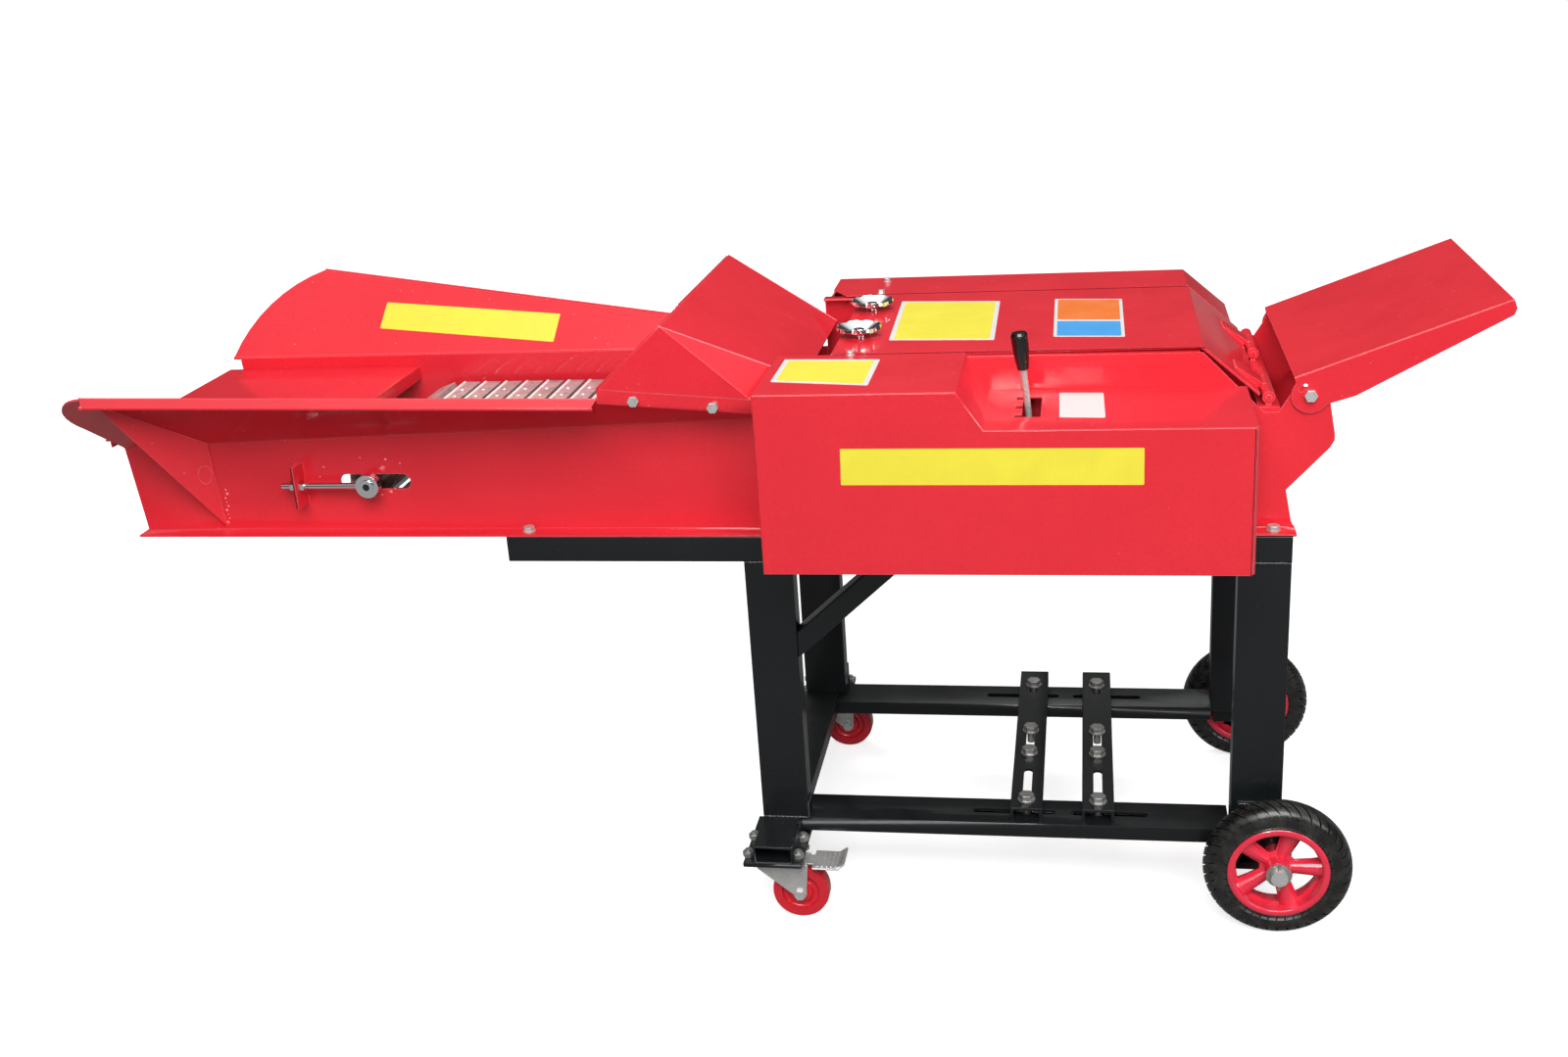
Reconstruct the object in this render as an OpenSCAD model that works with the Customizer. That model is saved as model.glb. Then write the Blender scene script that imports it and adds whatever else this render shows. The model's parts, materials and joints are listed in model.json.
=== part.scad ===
/* [Stand] */
// Length of the stand over its legs
stand_l = 646; // [560:2:760]
// Depth of the stand over its rails
stand_d = 392; // [340:2:460]
// Height of the table that the machine is bolted to
table_h = 505; // [460:1:560]
// Width of a leg along the machine
leg_w = 60; // [40:1:70]
// Depth of the leg and top rail tubes
tube_d = 30; // [25:1:35]
// Height of a top rail
rail_h = 33; // [25:1:45]
// How far the top rails reach out under the trough
rail_reach = 300; // [200:5:380]
// Wall of all the square tubes
tube_t = 2.5; // [2:0.5:4]
// Depth of a lower rail
low_rail_d = 60; // [50:1:70]
// Height of a lower rail
low_rail_h = 20; // [16:1:30]
// Top face of the lower rails above the floor
low_rail_z = 118; // [112:1:130]
// Width of the foot channel under the left legs
foot_w = 50; // [40:1:58]
// Height of the foot channel
foot_h = 24; // [20:1:26]
// How far the foot channel stands out past the legs
foot_reach = 76; // [70:1:90]
// Size of the braces between legs and top rails
brace_s = 26; // [20:1:30]
// Run of a brace along the top rail
brace_run = 118; // [90:1:150]

/* [Motor bars] */
// Width of a motor bar
bar_w = 40; // [36:1:50]
// Height of a motor bar
bar_h = 17; // [14:1:25]
// Length of a motor bar
bar_l = 400; // [392:1:440]
// Wall of a motor bar
bar_t = 4; // [3:0.5:6]
// First bar's centre from the left end of the stand
bar_x = 337; // [250:1:360]
// Distance between the two motor bars
bar_pitch = 89.5; // [70:0.5:120]
// Width of the bolt slots
slot_w = 11; // [9:0.5:13]
// Length of a motor slot
slot_l = 75; // [50:1:80]
// Distance between the two motor slots of a bar
slot_pitch = 112; // [100:1:130]

/* [Wheels] */
// Diameter of the rear wheels
wheel_d = 176; // [150:2:220]
// Width of a rear tyre
tyre_w = 40; // [32:1:50]
// Diameter where the tyre meets the rim
rim_d = 116; // [90:2:120]
// Diameter of the rear axle
axle_d = 20; // [16:1:24]
// Axle's distance from the left end of the stand
axle_x = 640; // [620:1:640]
// Diameter of a caster wheel
caster_d = 73; // [65:1:78]
// Width of a caster wheel
caster_w = 22; // [18:1:26]
// Swivel trail of a caster
caster_trail = 30; // [24:1:36]
// Swivel axis from the left end of the stand
caster_x = 22; // [20:1:30]
// Swivel axis in front of the stand
caster_out = 37; // [34:1:44]

/* [Trough] */
// Thickness of the sheet metal
sheet_t = 3; // [2:0.5:4]
// Inset of the side walls from the stand's faces
wall_in = 27.6; // [24:0.2:34]
// Reach of the trough to the left of the stand
trough_l = 832; // [700:2:900]
// Height of the trough floor above the table
floor_up = 127; // [115:1:140]
// Length of the flat part of the floor
floor_l = 297; // [240:1:340]
// Slant width of the near wing at its outer end
near_wing_s = 125; // [90:1:150]
// Slant width of the far wing at its outer end
far_wing_s = 134; // [90:1:160]
// Outward slope of the near wing from upright
near_flare = 45; // [30:1:55]
// Outward slope of the far wing from upright
far_flare = 33; // [20:1:45]
// Width of the rolled lip on the near wing
lip_w = 25; // [15:1:30]
// Width of a conveyor slat
slat_w = 25; // [20:1:27]
// Distance from slat to slat
slat_pitch = 31; // [29:0.5:34]
// Height of a conveyor slat with its folded edges
slat_t = 13; // [12:0.5:14]
// Tail shaft's distance to the left of the stand
tail_x = 477; // [440:1:500]

/* [Hood] */
// Height of the hood's mouth above the table
hood_h = 267; // [250:1:280]
// Overhang of the hood's mouth past the side walls
hood_out = 38; // [30:1:42]
// Mouth of the hood to the left of the stand
hood_x = 77; // [60:1:90]
// Height of the hood's rear edge above the table
hood_low = 183; // [180:1:186]

/* [Cutter housing] */
// Height of the housing above the table
body_h = 212; // [210:1:230]
// Left end of the housing from the left end of the stand
body_x = 62; // [58:1:64]
// Where the cover bends down, from the left end of the stand
cover_bend_x = 543; // [500:1:560]
// Cover hinge axis from the left end of the stand
hinge_x = 617; // [605:1:620]
// Cover hinge axis above the table
hinge_up = 155; // [150:1:158]
// Left edge of the cover from the left end of the stand
cover_x = 116; // [108:1:118]
// Radius of the circle that the knife edges describe
knife_r = 108; // [100:1:109]
// Height of the cutter shaft above the table
rotor_up = 95; // [94:1:97]
// Diameter of the cutter shaft
rotor_shaft_d = 30; // [24:1:32]
// Number of knives
knife_n = 4; // [3:1:6]

/* [Guards] */
// Depth of the near guard in front of the stand
near_guard_out = 130; // [128:1:150]
// Depth of the far guard behind the stand
far_guard_out = 71; // [66:1:90]
// Left end of the near guard
guard_x0 = 51; // [40:1:54]
// Right end of the near guard
guard_x1 = 592; // [560:1:600]
// End of the near guard's raised part
guard_step_x = 275; // [270:1:290]
// Height of the near guard's lower part above the table
guard_low_up = 172; // [168:1:180]
// Sheet of the guards
guard_t = 2.5; // [2:0.5:3]

/* [Feed drive] */
// Gear module of the reduction gears
gear_m = 4; // [4:1:4]
// Width of the reduction gears
gear_w = 12; // [10:1:13]
// Diameter of the feed roller shafts
roller_shaft_d = 24; // [20:1:24]
// Outer diameter of the lower feed roller
lower_roller_d = 76; // [70:1:78]
// Outer diameter of the upper feed roller
upper_roller_d = 72; // [66:1:74]
// Lift of the upper feed roller
roller_lift = 12; // [8:1:12]
// Travel of the shift lever to each side, in degrees
shift_deg = 24; // [18:1:24]

/* [Chute] */
// Length of the chute cap
chute_l = 239; // [200:1:280]
// Rise of the chute cap at rest, in degrees
chute_deg = 20.3; // [10:0.1:25]

/* [Hidden] */
$fn = 48;

red = [0.78, 0.05, 0.09];
black = [0.06, 0.06, 0.07];
zinc = [0.72, 0.73, 0.74];
steel = [0.55, 0.56, 0.58];
rubber = [0.05, 0.05, 0.05];
seat_gap = 0.3;
run_gap = 0.08;
fold_r = sheet_t * 0.7;

// Heights and faces that the pieces share
mid_y = stand_d / 2;
near_y = wall_in;
far_y = stand_d - wall_in;
near_in = near_y + sheet_t;
far_in = far_y - sheet_t;
rail_z = table_h - rail_h;
low_rail_x0 = foot_w;
floor_z = table_h + floor_up;
body_z = table_h + body_h;
flange_z = table_h + sheet_t;

// Conveyor
chain_or = 28;
chain_ir = 20;
chain_w = 10;
chain_y = 57;
turn_sink = 1.75;
conveyor_z = floor_z - 21 - slat_t - chain_or;
head_x = 45;
slat_in = 15;
conveyor_shaft_d = 20;
slat_start = 24;
upper_n = floor((tail_x + head_x - slat_start) / slat_pitch) + 1;

// Feed and cutter shafts, seen from the front as x and height
rotor_c = [310, table_h + rotor_up];
pinion_n = 13;
forward_n = 42;
lay_n = 16;
roller_n = 26;
idler_n = 15;
reverse_n = 26;
feed_n = 10;
function pitch_r(n) = gear_m * n / 2;
lay_d = pitch_r(pinion_n) + pitch_r(forward_n);
lay_rise = 6.6;
lay_c = rotor_c + [-sqrt(lay_d * lay_d - lay_rise * lay_rise), lay_rise];
lower_z = conveyor_z - 2;
roller_d = pitch_r(lay_n) + pitch_r(roller_n);
roller_drop = lay_c[1] - lower_z;
lower_c = [lay_c[0] - sqrt(roller_d * roller_d - roller_drop * roller_drop), lower_z];
feed_gap = 8;
feed_d = (lower_roller_d + upper_roller_d) / 2 + feed_gap;
upper_c = lower_c + [0, feed_d];
feed_m = feed_d / feed_n;
idler_d = pitch_r(pinion_n) + pitch_r(idler_n);
reverse_d = pitch_r(idler_n) + pitch_r(reverse_n);
lay_to_rotor = (rotor_c - lay_c) / lay_d;
idler_along = (lay_d * lay_d + reverse_d * reverse_d - idler_d * idler_d) / (2 * lay_d);
idler_off = sqrt(reverse_d * reverse_d - idler_along * idler_along);
idler_c = lay_c + idler_along * lay_to_rotor + idler_off * [-lay_to_rotor[1], lay_to_rotor[0]];

// Gear planes in front of the near wall
feed_gear_y = -2;
roller_gear_y = -26;
reverse_y = -46;
sleeve_y = -76;
forward_y = -93.5;
gear_clear = 0.45;

// Shift lever
lever_y = -41;
lever_z = table_h + rotor_up;
lever_x = 355;
gate_up = 12;
fork_drop = 24;
shift_rod_z = lever_z - 38;
lever_lean = 6;

// Cover, chute and hinges
guard_lap = 11;
cover_gap = 0.5;
cover_z = body_z + cover_gap + sheet_t / 2;
hinge_z = table_h + hinge_up;
knuckle_r = 7;
hinge_pin_r = 3.5;
cover_near = near_y + guard_lap + 1.4;
cover_far = stand_d - cover_near;
nut_x = 139;
nut_off = 70;
chute_c = [661, table_h + 161];
chute_rise = 26;
chute_side_gap = 0.5;
chute_nose = 15;

// Origin under the middle of the whole machine
wing_overhang = 13;
x_min = -trough_l - wing_overhang;
x_max = chute_c[0] + (chute_l - 8) * cos(chute_deg) - chute_nose * sin(chute_deg);
origin_x = (x_min + x_max) / 2;
origin_y = (stand_d + max(far_guard_out, foot_reach) - near_guard_out) / 2;

// Helpers
module in_frame() {
    translate([-origin_x, -origin_y, 0]) children();
}

// Extrudes a front view drawing from y0 to y1
module front_view(y0, y1) {
    translate([0, y1, 0]) rotate([90, 0, 0]) linear_extrude(y1 - y0) children();
}

module rod_y(c, r, y0, y1, fn = 48) {
    front_view(y0, y1) translate(c) circle(r = r, $fn = fn);
}

module ring_y(c, r, bore, y0, y1) {
    front_view(y0, y1) translate(c) difference() {
        circle(r = r);
        circle(r = bore);
    }
}

module mirrored() {
    children();
    translate([0, stand_d, 0]) mirror([0, 1, 0]) children();
}

module tube_x(x0, x1, y, z, w, h, t = tube_t) {
    difference() {
        translate([x0, y, z]) cube([x1 - x0, w, h]);
        translate([x0 - 1, y + t, z + t]) cube([x1 - x0 + 2, w - 2 * t, h - 2 * t]);
    }
}

module slot_z(x, y, l, w, z0, z1) {
    for (side = [-1, 1])
        translate([x, y + side * (l - w) / 2, z0]) cylinder(d = w, h = z1 - z0);
    translate([x - w / 2, y - (l - w) / 2, z0]) cube([w, l - w, z1 - z0]);
}

module slot_x(x, y, l, w, z0, z1) {
    for (side = [-1, 1])
        translate([x + side * (l - w) / 2, y, z0]) cylinder(d = w, h = z1 - z0);
    translate([x - (l - w) / 2, y - w / 2, z0]) cube([l - w, w, z1 - z0]);
}

function unit(v) = v / norm(v);

// Flat sheet through three or more corner points, centred on them
module sheet(pts, t = sheet_t) {
    e1 = unit(pts[1] - pts[0]);
    n = unit(cross(e1, pts[2] - pts[0]));
    e2 = cross(n, e1);
    o = pts[0];
    multmatrix([
        [e1[0], e2[0], n[0], o[0]],
        [e1[1], e2[1], n[1], o[1]],
        [e1[2], e2[2], n[2], o[2]],
        [0, 0, 0, 1]
    ])
        translate([0, 0, -t / 2]) linear_extrude(t)
            polygon([for (p = pts) [(p - o) * e1, (p - o) * e2]]);
}

// Round bead along a bend or a hem
module bead(p, q, r) {
    v = q - p;
    translate(p) rotate([0, acos(v[2] / norm(v)), atan2(v[1], v[0])])
        cylinder(r = r, h = norm(v), $fn = 24);
}

// Round corner where beads meet
module ball(p, r) {
    translate(p) sphere(r = r, $fn = 24);
}

// Points of a shallow arc from p to q that bulges by sag to the left
function arc_points(p, q, sag, n = 8) =
    let (
        chord = norm(q - p),
        r = (chord * chord / 4 + sag * sag) / (2 * sag),
        u = (q - p) / chord,
        side = [-u[1], u[0]],
        c = (p + q) / 2 + side * (sag - r),
        a0 = atan2(p[1] - c[1], p[0] - c[0]),
        sweep = 2 * asin(chord / 2 / r)
    )
    [for (i = [1 : n - 1]) c + r * [cos(a0 - sweep * i / n), sin(a0 - sweep * i / n)]];

// Involute gear outline
function inv(a) = tan(a) * 180 / PI - a;
function half_tooth(n, r, rb, slack) =
    90 / n - slack + inv(20) - (r > rb ? inv(acos(rb / r)) : 0);

module gear_2d(n, m, phase, slack, add = 1, ded = 1.25, steps = 4) {
    rp = m * n / 2;
    rb = rp * cos(20);
    tip = rp + m * add;
    root = rp - m * ded;
    radii = [root, for (i = [0 : steps]) max(rb, root) + (tip - max(rb, root)) * i / steps];
    last = len(radii) - 1;
    polygon([
        for (k = [0 : n - 1], s = [-1, 1], i = [0 : last])
            let (
                r = radii[s < 0 ? i : last - i],
                a = phase + 360 * k / n + s * half_tooth(n, r, rb, slack)
            )
            r * [cos(a), sin(a)]
    ]);
}

function bearing_of(a, b) = atan2(b[1] - a[1], b[0] - a[0]);
// Phase of a gear that meshes with one at the given phase
function mesh_phase(c1, n1, phase1, c2, n2) =
    let (phi = bearing_of(c1, c2))
    phi + 180 - (0.5 - (phi - phase1) * n1 / 360) * 360 / n2;

rotor_phase = 0;
forward_phase = mesh_phase(rotor_c, pinion_n, rotor_phase, lay_c, forward_n);
idler_phase = mesh_phase(rotor_c, pinion_n, rotor_phase, idler_c, idler_n);
reverse_phase = mesh_phase(idler_c, idler_n, idler_phase, lay_c, reverse_n);
roller_phase = 0;
lay_phase = mesh_phase(lower_c, roller_n, roller_phase, lay_c, lay_n);
feed_phase = mesh_phase(lower_c, feed_n, roller_phase, upper_c, feed_n);

module gear(c, n, phase, y0, w, bore) {
    front_view(y0 - w, y0) translate(c) difference() {
        gear_2d(n, gear_m, phase, gear_clear);
        circle(r = bore);
    }
}

module hex_head(x, y, z, across, h) {
    translate([x, y, z]) cylinder(d = across / cos(30), h = h, $fn = 6);
}

// Stand
module leg(x, z0) {
    difference() {
        translate([x, 0, z0]) cube([leg_w, tube_d, rail_z - z0]);
        translate([x + tube_t, tube_t, z0 - 1])
            cube([leg_w - 2 * tube_t, tube_d - 2 * tube_t, rail_z - z0 + 2]);
    }
}

axle_plate_t = 6;
axle_z = wheel_d / 2;
right_leg_z = low_rail_z - low_rail_h;

module legs() {
    color(black) in_frame() mirrored() {
        leg(0, low_rail_z);
        leg(stand_l - leg_w, right_leg_z);
        front_view(-axle_plate_t, 0) difference() {
            polygon([
                [stand_l - leg_w + 8, axle_z - 22], [axle_x + 14, axle_z - 22], [axle_x + 20, axle_z - 8],
                [axle_x + 20, axle_z + 14], [stand_l, axle_z + 70], [stand_l - leg_w + 8, axle_z + 70]
            ]);
            translate([axle_x, axle_z]) circle(d = axle_d + 2 * run_gap);
        }
    }
}

module top_rails() {
    color(black) in_frame() mirrored() difference() {
        tube_x(-rail_reach, stand_l, 0, rail_z, tube_d, rail_h);
        at_flange_bolts() translate([0, 0, table_h - 6]) cylinder(d = flange_bolt_d + 0.6, h = 10);
    }
}

rail_slot_l = 104;
rail_bolt_y = low_rail_d / 2;

module lower_rails() {
    color(black) in_frame() mirrored() difference() {
        tube_x(low_rail_x0, stand_l - leg_w, 0, right_leg_z, low_rail_d, low_rail_h);
        for (i = [0, 1])
            slot_x(bar_x + i * bar_pitch - 16 + 30 * i, rail_bolt_y, rail_slot_l - 8 * i, slot_w,
                right_leg_z + low_rail_h / 2, low_rail_z + 1);
    }
}

foot_z = low_rail_z - foot_h;
pad_t = 6;
pad_z = foot_z - pad_t;
pad_x0 = -14;
pad_l = 74;
pad_d = 116;
caster_y = -caster_out;
caster_plate_t = 3;
caster_plate_z = pad_z - caster_plate_t;
king_r = 6;

module foot_channel() {
    foot_l = stand_d + 2 * foot_reach;
    color(black) in_frame() {
        difference() {
            translate([0, -foot_reach, foot_z]) cube([foot_w, foot_l, foot_h]);
            translate([tube_t, -foot_reach - 1, foot_z + tube_t])
                cube([foot_w - 2 * tube_t, foot_l + 2, foot_h - 2 * tube_t]);
            mirrored() caster_bolt_holes(foot_z - 1, foot_z + foot_h + 1, 16);
        }
        mirrored() difference() {
            translate([pad_x0, -foot_reach, pad_z]) cube([pad_l, pad_d, pad_t]);
            caster_bolt_holes(pad_z - 1, foot_z + 1, caster_bolt_d + 1);
        }
    }
}

caster_bolt_d = 8;
caster_bolt_x = 32;
caster_bolt_y = 21;

module at_caster_bolts() {
    for (dx = [-1, 1], dy = [-1, 1])
        translate([caster_x + dx * caster_bolt_x, caster_y + dy * caster_bolt_y, 0]) children();
}

module caster_bolt_holes(z0, z1, d) {
    at_caster_bolts() translate([0, 0, z0]) cylinder(d = d, h = z1 - z0);
}

brace_rise = 106;

module braces() {
    color(black) in_frame() mirrored() {
        x0 = leg_w;
        x1 = leg_w + brace_run;
        slope = brace_rise / brace_run;
        up = brace_s * sqrt(1 + slope * slope);
        front_view(0, tube_d) polygon([
            [x0, rail_z - brace_rise - up + 12], [x0, rail_z - brace_rise + 12],
            [x0 + (brace_rise - 12) / slope, rail_z], [x0 + (brace_rise - 12 + up) / slope, rail_z]
        ]);
    }
}

bar_y0 = 9;
bar_z = low_rail_z;
near_slot_y = 75;

module bar_holes(z0, z1) {
    for (i = [0, 1]) {
        x = bar_x + i * bar_pitch;
        for (k = [0, 1])
            slot_z(x, near_slot_y + k * slot_pitch, slot_l, slot_w, z0, z1);
        slot_z(x, rail_bolt_y, slot_w + 1, slot_w, z0, z1);
        slot_z(x, stand_d - rail_bolt_y - 4, 48, slot_w, z0, z1);
    }
}

module motor_bars() {
    color(black) in_frame() difference() {
        for (i = [0, 1])
            translate([bar_x + i * bar_pitch - bar_w / 2, bar_y0, bar_z]) difference() {
                cube([bar_w, bar_l, bar_h]);
                translate([bar_t, -1, -1]) cube([bar_w - 2 * bar_t, bar_l + 2, bar_h - bar_t + 1]);
            }
        bar_holes(bar_z - 1, bar_z + bar_h + 1);
    }
}

bolt_r = 5;
washer_r = 11;
washer_t = 2;

module bar_bolt(x, y, z_end) {
    z = bar_z + bar_h;
    translate([x, y, z_end]) cylinder(r = bolt_r, h = z - z_end + 4);
    translate([x, y, z]) cylinder(r = washer_r, h = washer_t);
    hex_head(x, y, z + washer_t, 17, 7);
}

module axle_pins() {
    for (side = [0, 1])
        translate([0, side * stand_d, 0]) mirror([0, side, 0]) {
            ring_y([axle_x, axle_z], 15, axle_d / 2 + run_gap, wheel_face - 4, wheel_face - 1.5);
            translate([axle_x, wheel_face - 7, axle_z - 17]) cylinder(r = 1.9, h = 34, $fn = 24);
        }
}

module stand_fasteners() {
    color(zinc) in_frame() {
        for (i = [0, 1]) {
            x = bar_x + i * bar_pitch;
            bar_bolt(x, rail_bolt_y, right_leg_z + tube_t + 1);
            bar_bolt(x, stand_d - rail_bolt_y, right_leg_z + tube_t + 1);
            for (k = [-1, 1])
                bar_bolt(x, near_slot_y + slot_pitch + k * 32, bar_z + bar_h - bar_t - 12);
        }
        mirrored() at_caster_bolts() {
            translate([0, 0, caster_plate_z - 4]) cylinder(d = 14, h = 4);
            translate([0, 0, caster_plate_z]) cylinder(d = caster_bolt_d, h = pad_t + caster_plate_t + 10);
            hex_head(0, 0, pad_z + pad_t, 13, 7);
        }
        axle_pins();
    }
}

module caster_plates() {
    color(zinc) in_frame() mirrored() difference() {
        translate([caster_x - 36, caster_y - 29, caster_plate_z]) cube([72, 58, caster_plate_t]);
        caster_bolt_holes(caster_plate_z - 1, pad_z + 1, caster_bolt_d + 0.6);
        translate([caster_x, caster_y, caster_plate_z - 1])
            cylinder(r = king_r + run_gap, h = caster_plate_t + 2);
    }
}

// Rear wheels
wheel_gap = 10.6;
wheel_face = -wheel_gap - tyre_w;
hub_r = 16;
spoke_n = 5;

module axle() {
    color(steel) in_frame() difference() {
        rod_y([axle_x, axle_z], axle_d / 2, wheel_face - 12, stand_d - wheel_face + 12);
        mirrored() translate([axle_x, wheel_face - 7, axle_z - axle_d])
            cylinder(r = 2, h = 2 * axle_d, $fn = 24);
    }
}

module at_wheel() {
    translate([axle_x, -wheel_gap, axle_z]) rotate([90, 0, 0]) children();
}

module tyre() {
    in_r = rim_d / 2;
    out_r = wheel_d / 2;
    side = 13;
    at_wheel() rotate_extrude($fn = 96) difference() {
        union() {
            translate([in_r, 1.5]) square([out_r - in_r - side, tyre_w - 3]);
            translate([in_r + 4, 0]) square([out_r - in_r - side - 4, tyre_w]);
            translate([out_r - side, side]) square([side, tyre_w - 2 * side]);
            for (y = [side, tyre_w - side])
                translate([out_r - side, y]) circle(r = side);
        }
        translate([in_r + 9, tyre_w / 2]) circle(r = 6);
    }
}

module rim() {
    in_r = rim_d / 2 - 6;
    at_wheel() difference() {
        union() {
            difference() {
                translate([0, 0, 1.5]) cylinder(d = rim_d, h = tyre_w - 3, $fn = 96);
                translate([0, 0, -1]) cylinder(r = in_r, h = tyre_w + 2, $fn = 96);
            }
            translate([0, 0, -4]) cylinder(r = hub_r, h = tyre_w + 5.2);
            difference() {
                translate([0, 0, tyre_w / 2 - 2]) cylinder(r = in_r + 1, h = 4);
                for (k = [0 : spoke_n - 1])
                    rotate(360 / spoke_n * (k + 0.5)) translate([30, 0, 0])
                        linear_extrude(tyre_w) polygon([[-9, -4], [16, -19], [19, 0], [16, 19], [-9, 4]]);
            }
            for (k = [0 : spoke_n - 1])
                rotate(360 / spoke_n * k) translate([hub_r - 4, 0, tyre_w / 2]) rotate([0, 90, 0])
                    cylinder(r1 = 6, r2 = 12.5, h = in_r - hub_r + 5);
        }
        translate([0, 0, -20]) cylinder(d = axle_d + 2 * run_gap, h = tyre_w + 40);
    }
}

module tyre_near() { color(rubber) in_frame() tyre(); }
module rim_near() { color(red) in_frame() rim(); }
module far_side() { translate([0, stand_d, 0]) mirror([0, 1, 0]) children(); }
module tyre_far() { color(rubber) in_frame() far_side() tyre(); }
module rim_far() { color(red) in_frame() far_side() rim(); }

// Casters
caster_axle = [caster_x + caster_trail, caster_d / 2];
caster_axle_r = 5;
fork_t = 2.5;
fork_in = caster_w / 2 + 2.6;
crown_z = caster_d + 2.5;
crown_t = 3.5;
pedal_c = [caster_axle[0] + 6, crown_z + 1.5];
pedal_pin_r = 2;
pedal_x = pedal_c[0] + 12;
pedal_w = 42;

module caster_fork() {
    cup_z = crown_z + crown_t;
    difference() {
        union() {
            for (side = [-1, 1])
                front_view(caster_y + (side > 0 ? fork_in : -fork_in - fork_t),
                    caster_y + (side > 0 ? fork_in + fork_t : -fork_in)) {
                    polygon([
                        [caster_x - 24, crown_z + crown_t], [caster_x - 24, crown_z - 3],
                        [caster_axle[0] - 8, caster_axle[1] - 2],
                        [caster_axle[0] + 8, caster_axle[1] - 2], [pedal_c[0] + 6, crown_z + crown_t]
                    ]);
                    translate(caster_axle) circle(r = 8.3);
                }
            translate([caster_x - 24, caster_y - fork_in - fork_t, crown_z])
                cube([44, 2 * (fork_in + fork_t), crown_t]);
            translate([caster_x, caster_y, cup_z]) cylinder(r = 20, h = caster_plate_z - cup_z - seat_gap);
            translate([caster_x, caster_y, crown_z]) cylinder(r = king_r, h = pad_z - crown_z - seat_gap);
        }
        rod_y(pedal_c, pedal_pin_r + run_gap, caster_y - 30, caster_y + 30, 24);
    }
    rod_y(caster_axle, caster_axle_r, caster_y - fork_in - fork_t, caster_y + fork_in + fork_t);
    for (side = [-1, 1])
        rod_y(caster_axle, 7.5, caster_y + side * (fork_in + fork_t + 2.5) - 2.5,
            caster_y + side * (fork_in + fork_t + 2.5) + 2.5, 6);
}

module caster_wheel() {
    translate([caster_axle[0], caster_y + caster_w / 2, caster_axle[1]]) rotate([90, 0, 0])
        rotate_extrude($fn = 72) difference() {
            union() {
                translate([caster_axle_r + run_gap, 0]) square([caster_d / 2 - 6, caster_w]);
                translate([caster_d / 2 - 5, 5]) square([5, caster_w - 10]);
                for (y = [5, caster_w - 5])
                    translate([caster_d / 2 - 5, y]) circle(r = 5);
                translate([caster_axle_r + run_gap, -2]) square([6, caster_w + 4]);
            }
            for (y = [0, caster_w])
                translate([caster_d / 2 - 17, y]) circle(r = 5);
        }
}

module brake_pedal() {
    reach = caster_x + 90;
    w = caster_w;
    z = pedal_c[1];
    front_view(caster_y - w / 2, caster_y + w / 2) {
        translate(pedal_c) circle(r = 3.2);
        translate([pedal_c[0], z - 1]) square([18, 3]);
        translate([pedal_c[0], z]) polygon([[11, 0], [17, 0], [17, -8], [14, -8]]);
    }
    front_view(caster_y - pedal_w / 2, caster_y + pedal_w / 2) {
        translate([pedal_x, z - 1]) square([reach - pedal_x - 8, 3]);
        polygon([[reach - 10, z - 1], [reach, z + 6.5], [reach - 1.6, z + 8.5], [reach - 11, z + 2]]);
    }
    for (k = [0 : 4])
        translate([pedal_x + 5 + 6 * k, caster_y - pedal_w / 2 + 3, z + 1.9]) cube([2.4, pedal_w - 6, 1.3]);
    rod_y(pedal_c, pedal_pin_r, caster_y - fork_in - fork_t, caster_y + fork_in + fork_t, 24);
}

module caster_fork_near() { color(zinc) in_frame() caster_fork(); }
module caster_wheel_near() { color(red) in_frame() caster_wheel(); }
module brake_pedal_near() { color(zinc) in_frame() brake_pedal(); }
module caster_fork_far() { color(zinc) in_frame() far_side() caster_fork(); }
module caster_wheel_far() { color(red) in_frame() far_side() caster_wheel(); }
module brake_pedal_far() { color(zinc) in_frame() far_side() brake_pedal(); }

// Trough
panel_x0 = -trough_l + 20;
near_fold_l = table_h + 115;
near_fold_r = table_h + 144;
far_fold = table_h + 143;
function near_fold(x) = near_fold_l + (near_fold_r - near_fold_l) * (x - panel_x0) / (body_x - panel_x0);
tension_z = conveyor_z;
tension_slot_l = 94;
tension_slot_w = 20;
tension_slot_x = -tail_x + 3;
panel_lean = 11;

module panel_outline(z_left, z_right) {
    difference() {
        polygon([
            [panel_x0 + panel_lean, table_h], [panel_x0, z_left], [body_x, z_right], [body_x, table_h]
        ]);
        for (side = [-1, 1])
            translate([tension_slot_x + side * (tension_slot_l - tension_slot_w) / 2, tension_z])
                circle(d = tension_slot_w);
        translate([tension_slot_x - (tension_slot_l - tension_slot_w) / 2, tension_z - tension_slot_w / 2])
            square([tension_slot_l - tension_slot_w, tension_slot_w]);
    }
}

flange_bolt_y = 13;
flange_bolt_d = 8;
trough_bolt_x = -273;

module at_flange_bolts() {
    for (x = [trough_bolt_x, 100, 500, 625])
        translate([x, flange_bolt_y, 0]) children();
}

module bottom_flange(x0, x1) {
    difference() {
        translate([x0, 0, table_h]) cube([x1 - x0, near_in, sheet_t]);
        at_flange_bolts() translate([0, 0, table_h - 1]) cylinder(d = flange_bolt_d + 0.6, h = sheet_t + 2);
    }
}

bracket_h = 56;

module tension_bracket() {
    x = -tail_x - 97;
    difference() {
        translate([x, 2, tension_z - bracket_h / 2]) cube([5, near_y - 2, bracket_h]);
        translate([x - 1, 12, tension_z]) rotate([0, 90, 0]) cylinder(d = 9, h = 7);
    }
}

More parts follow.
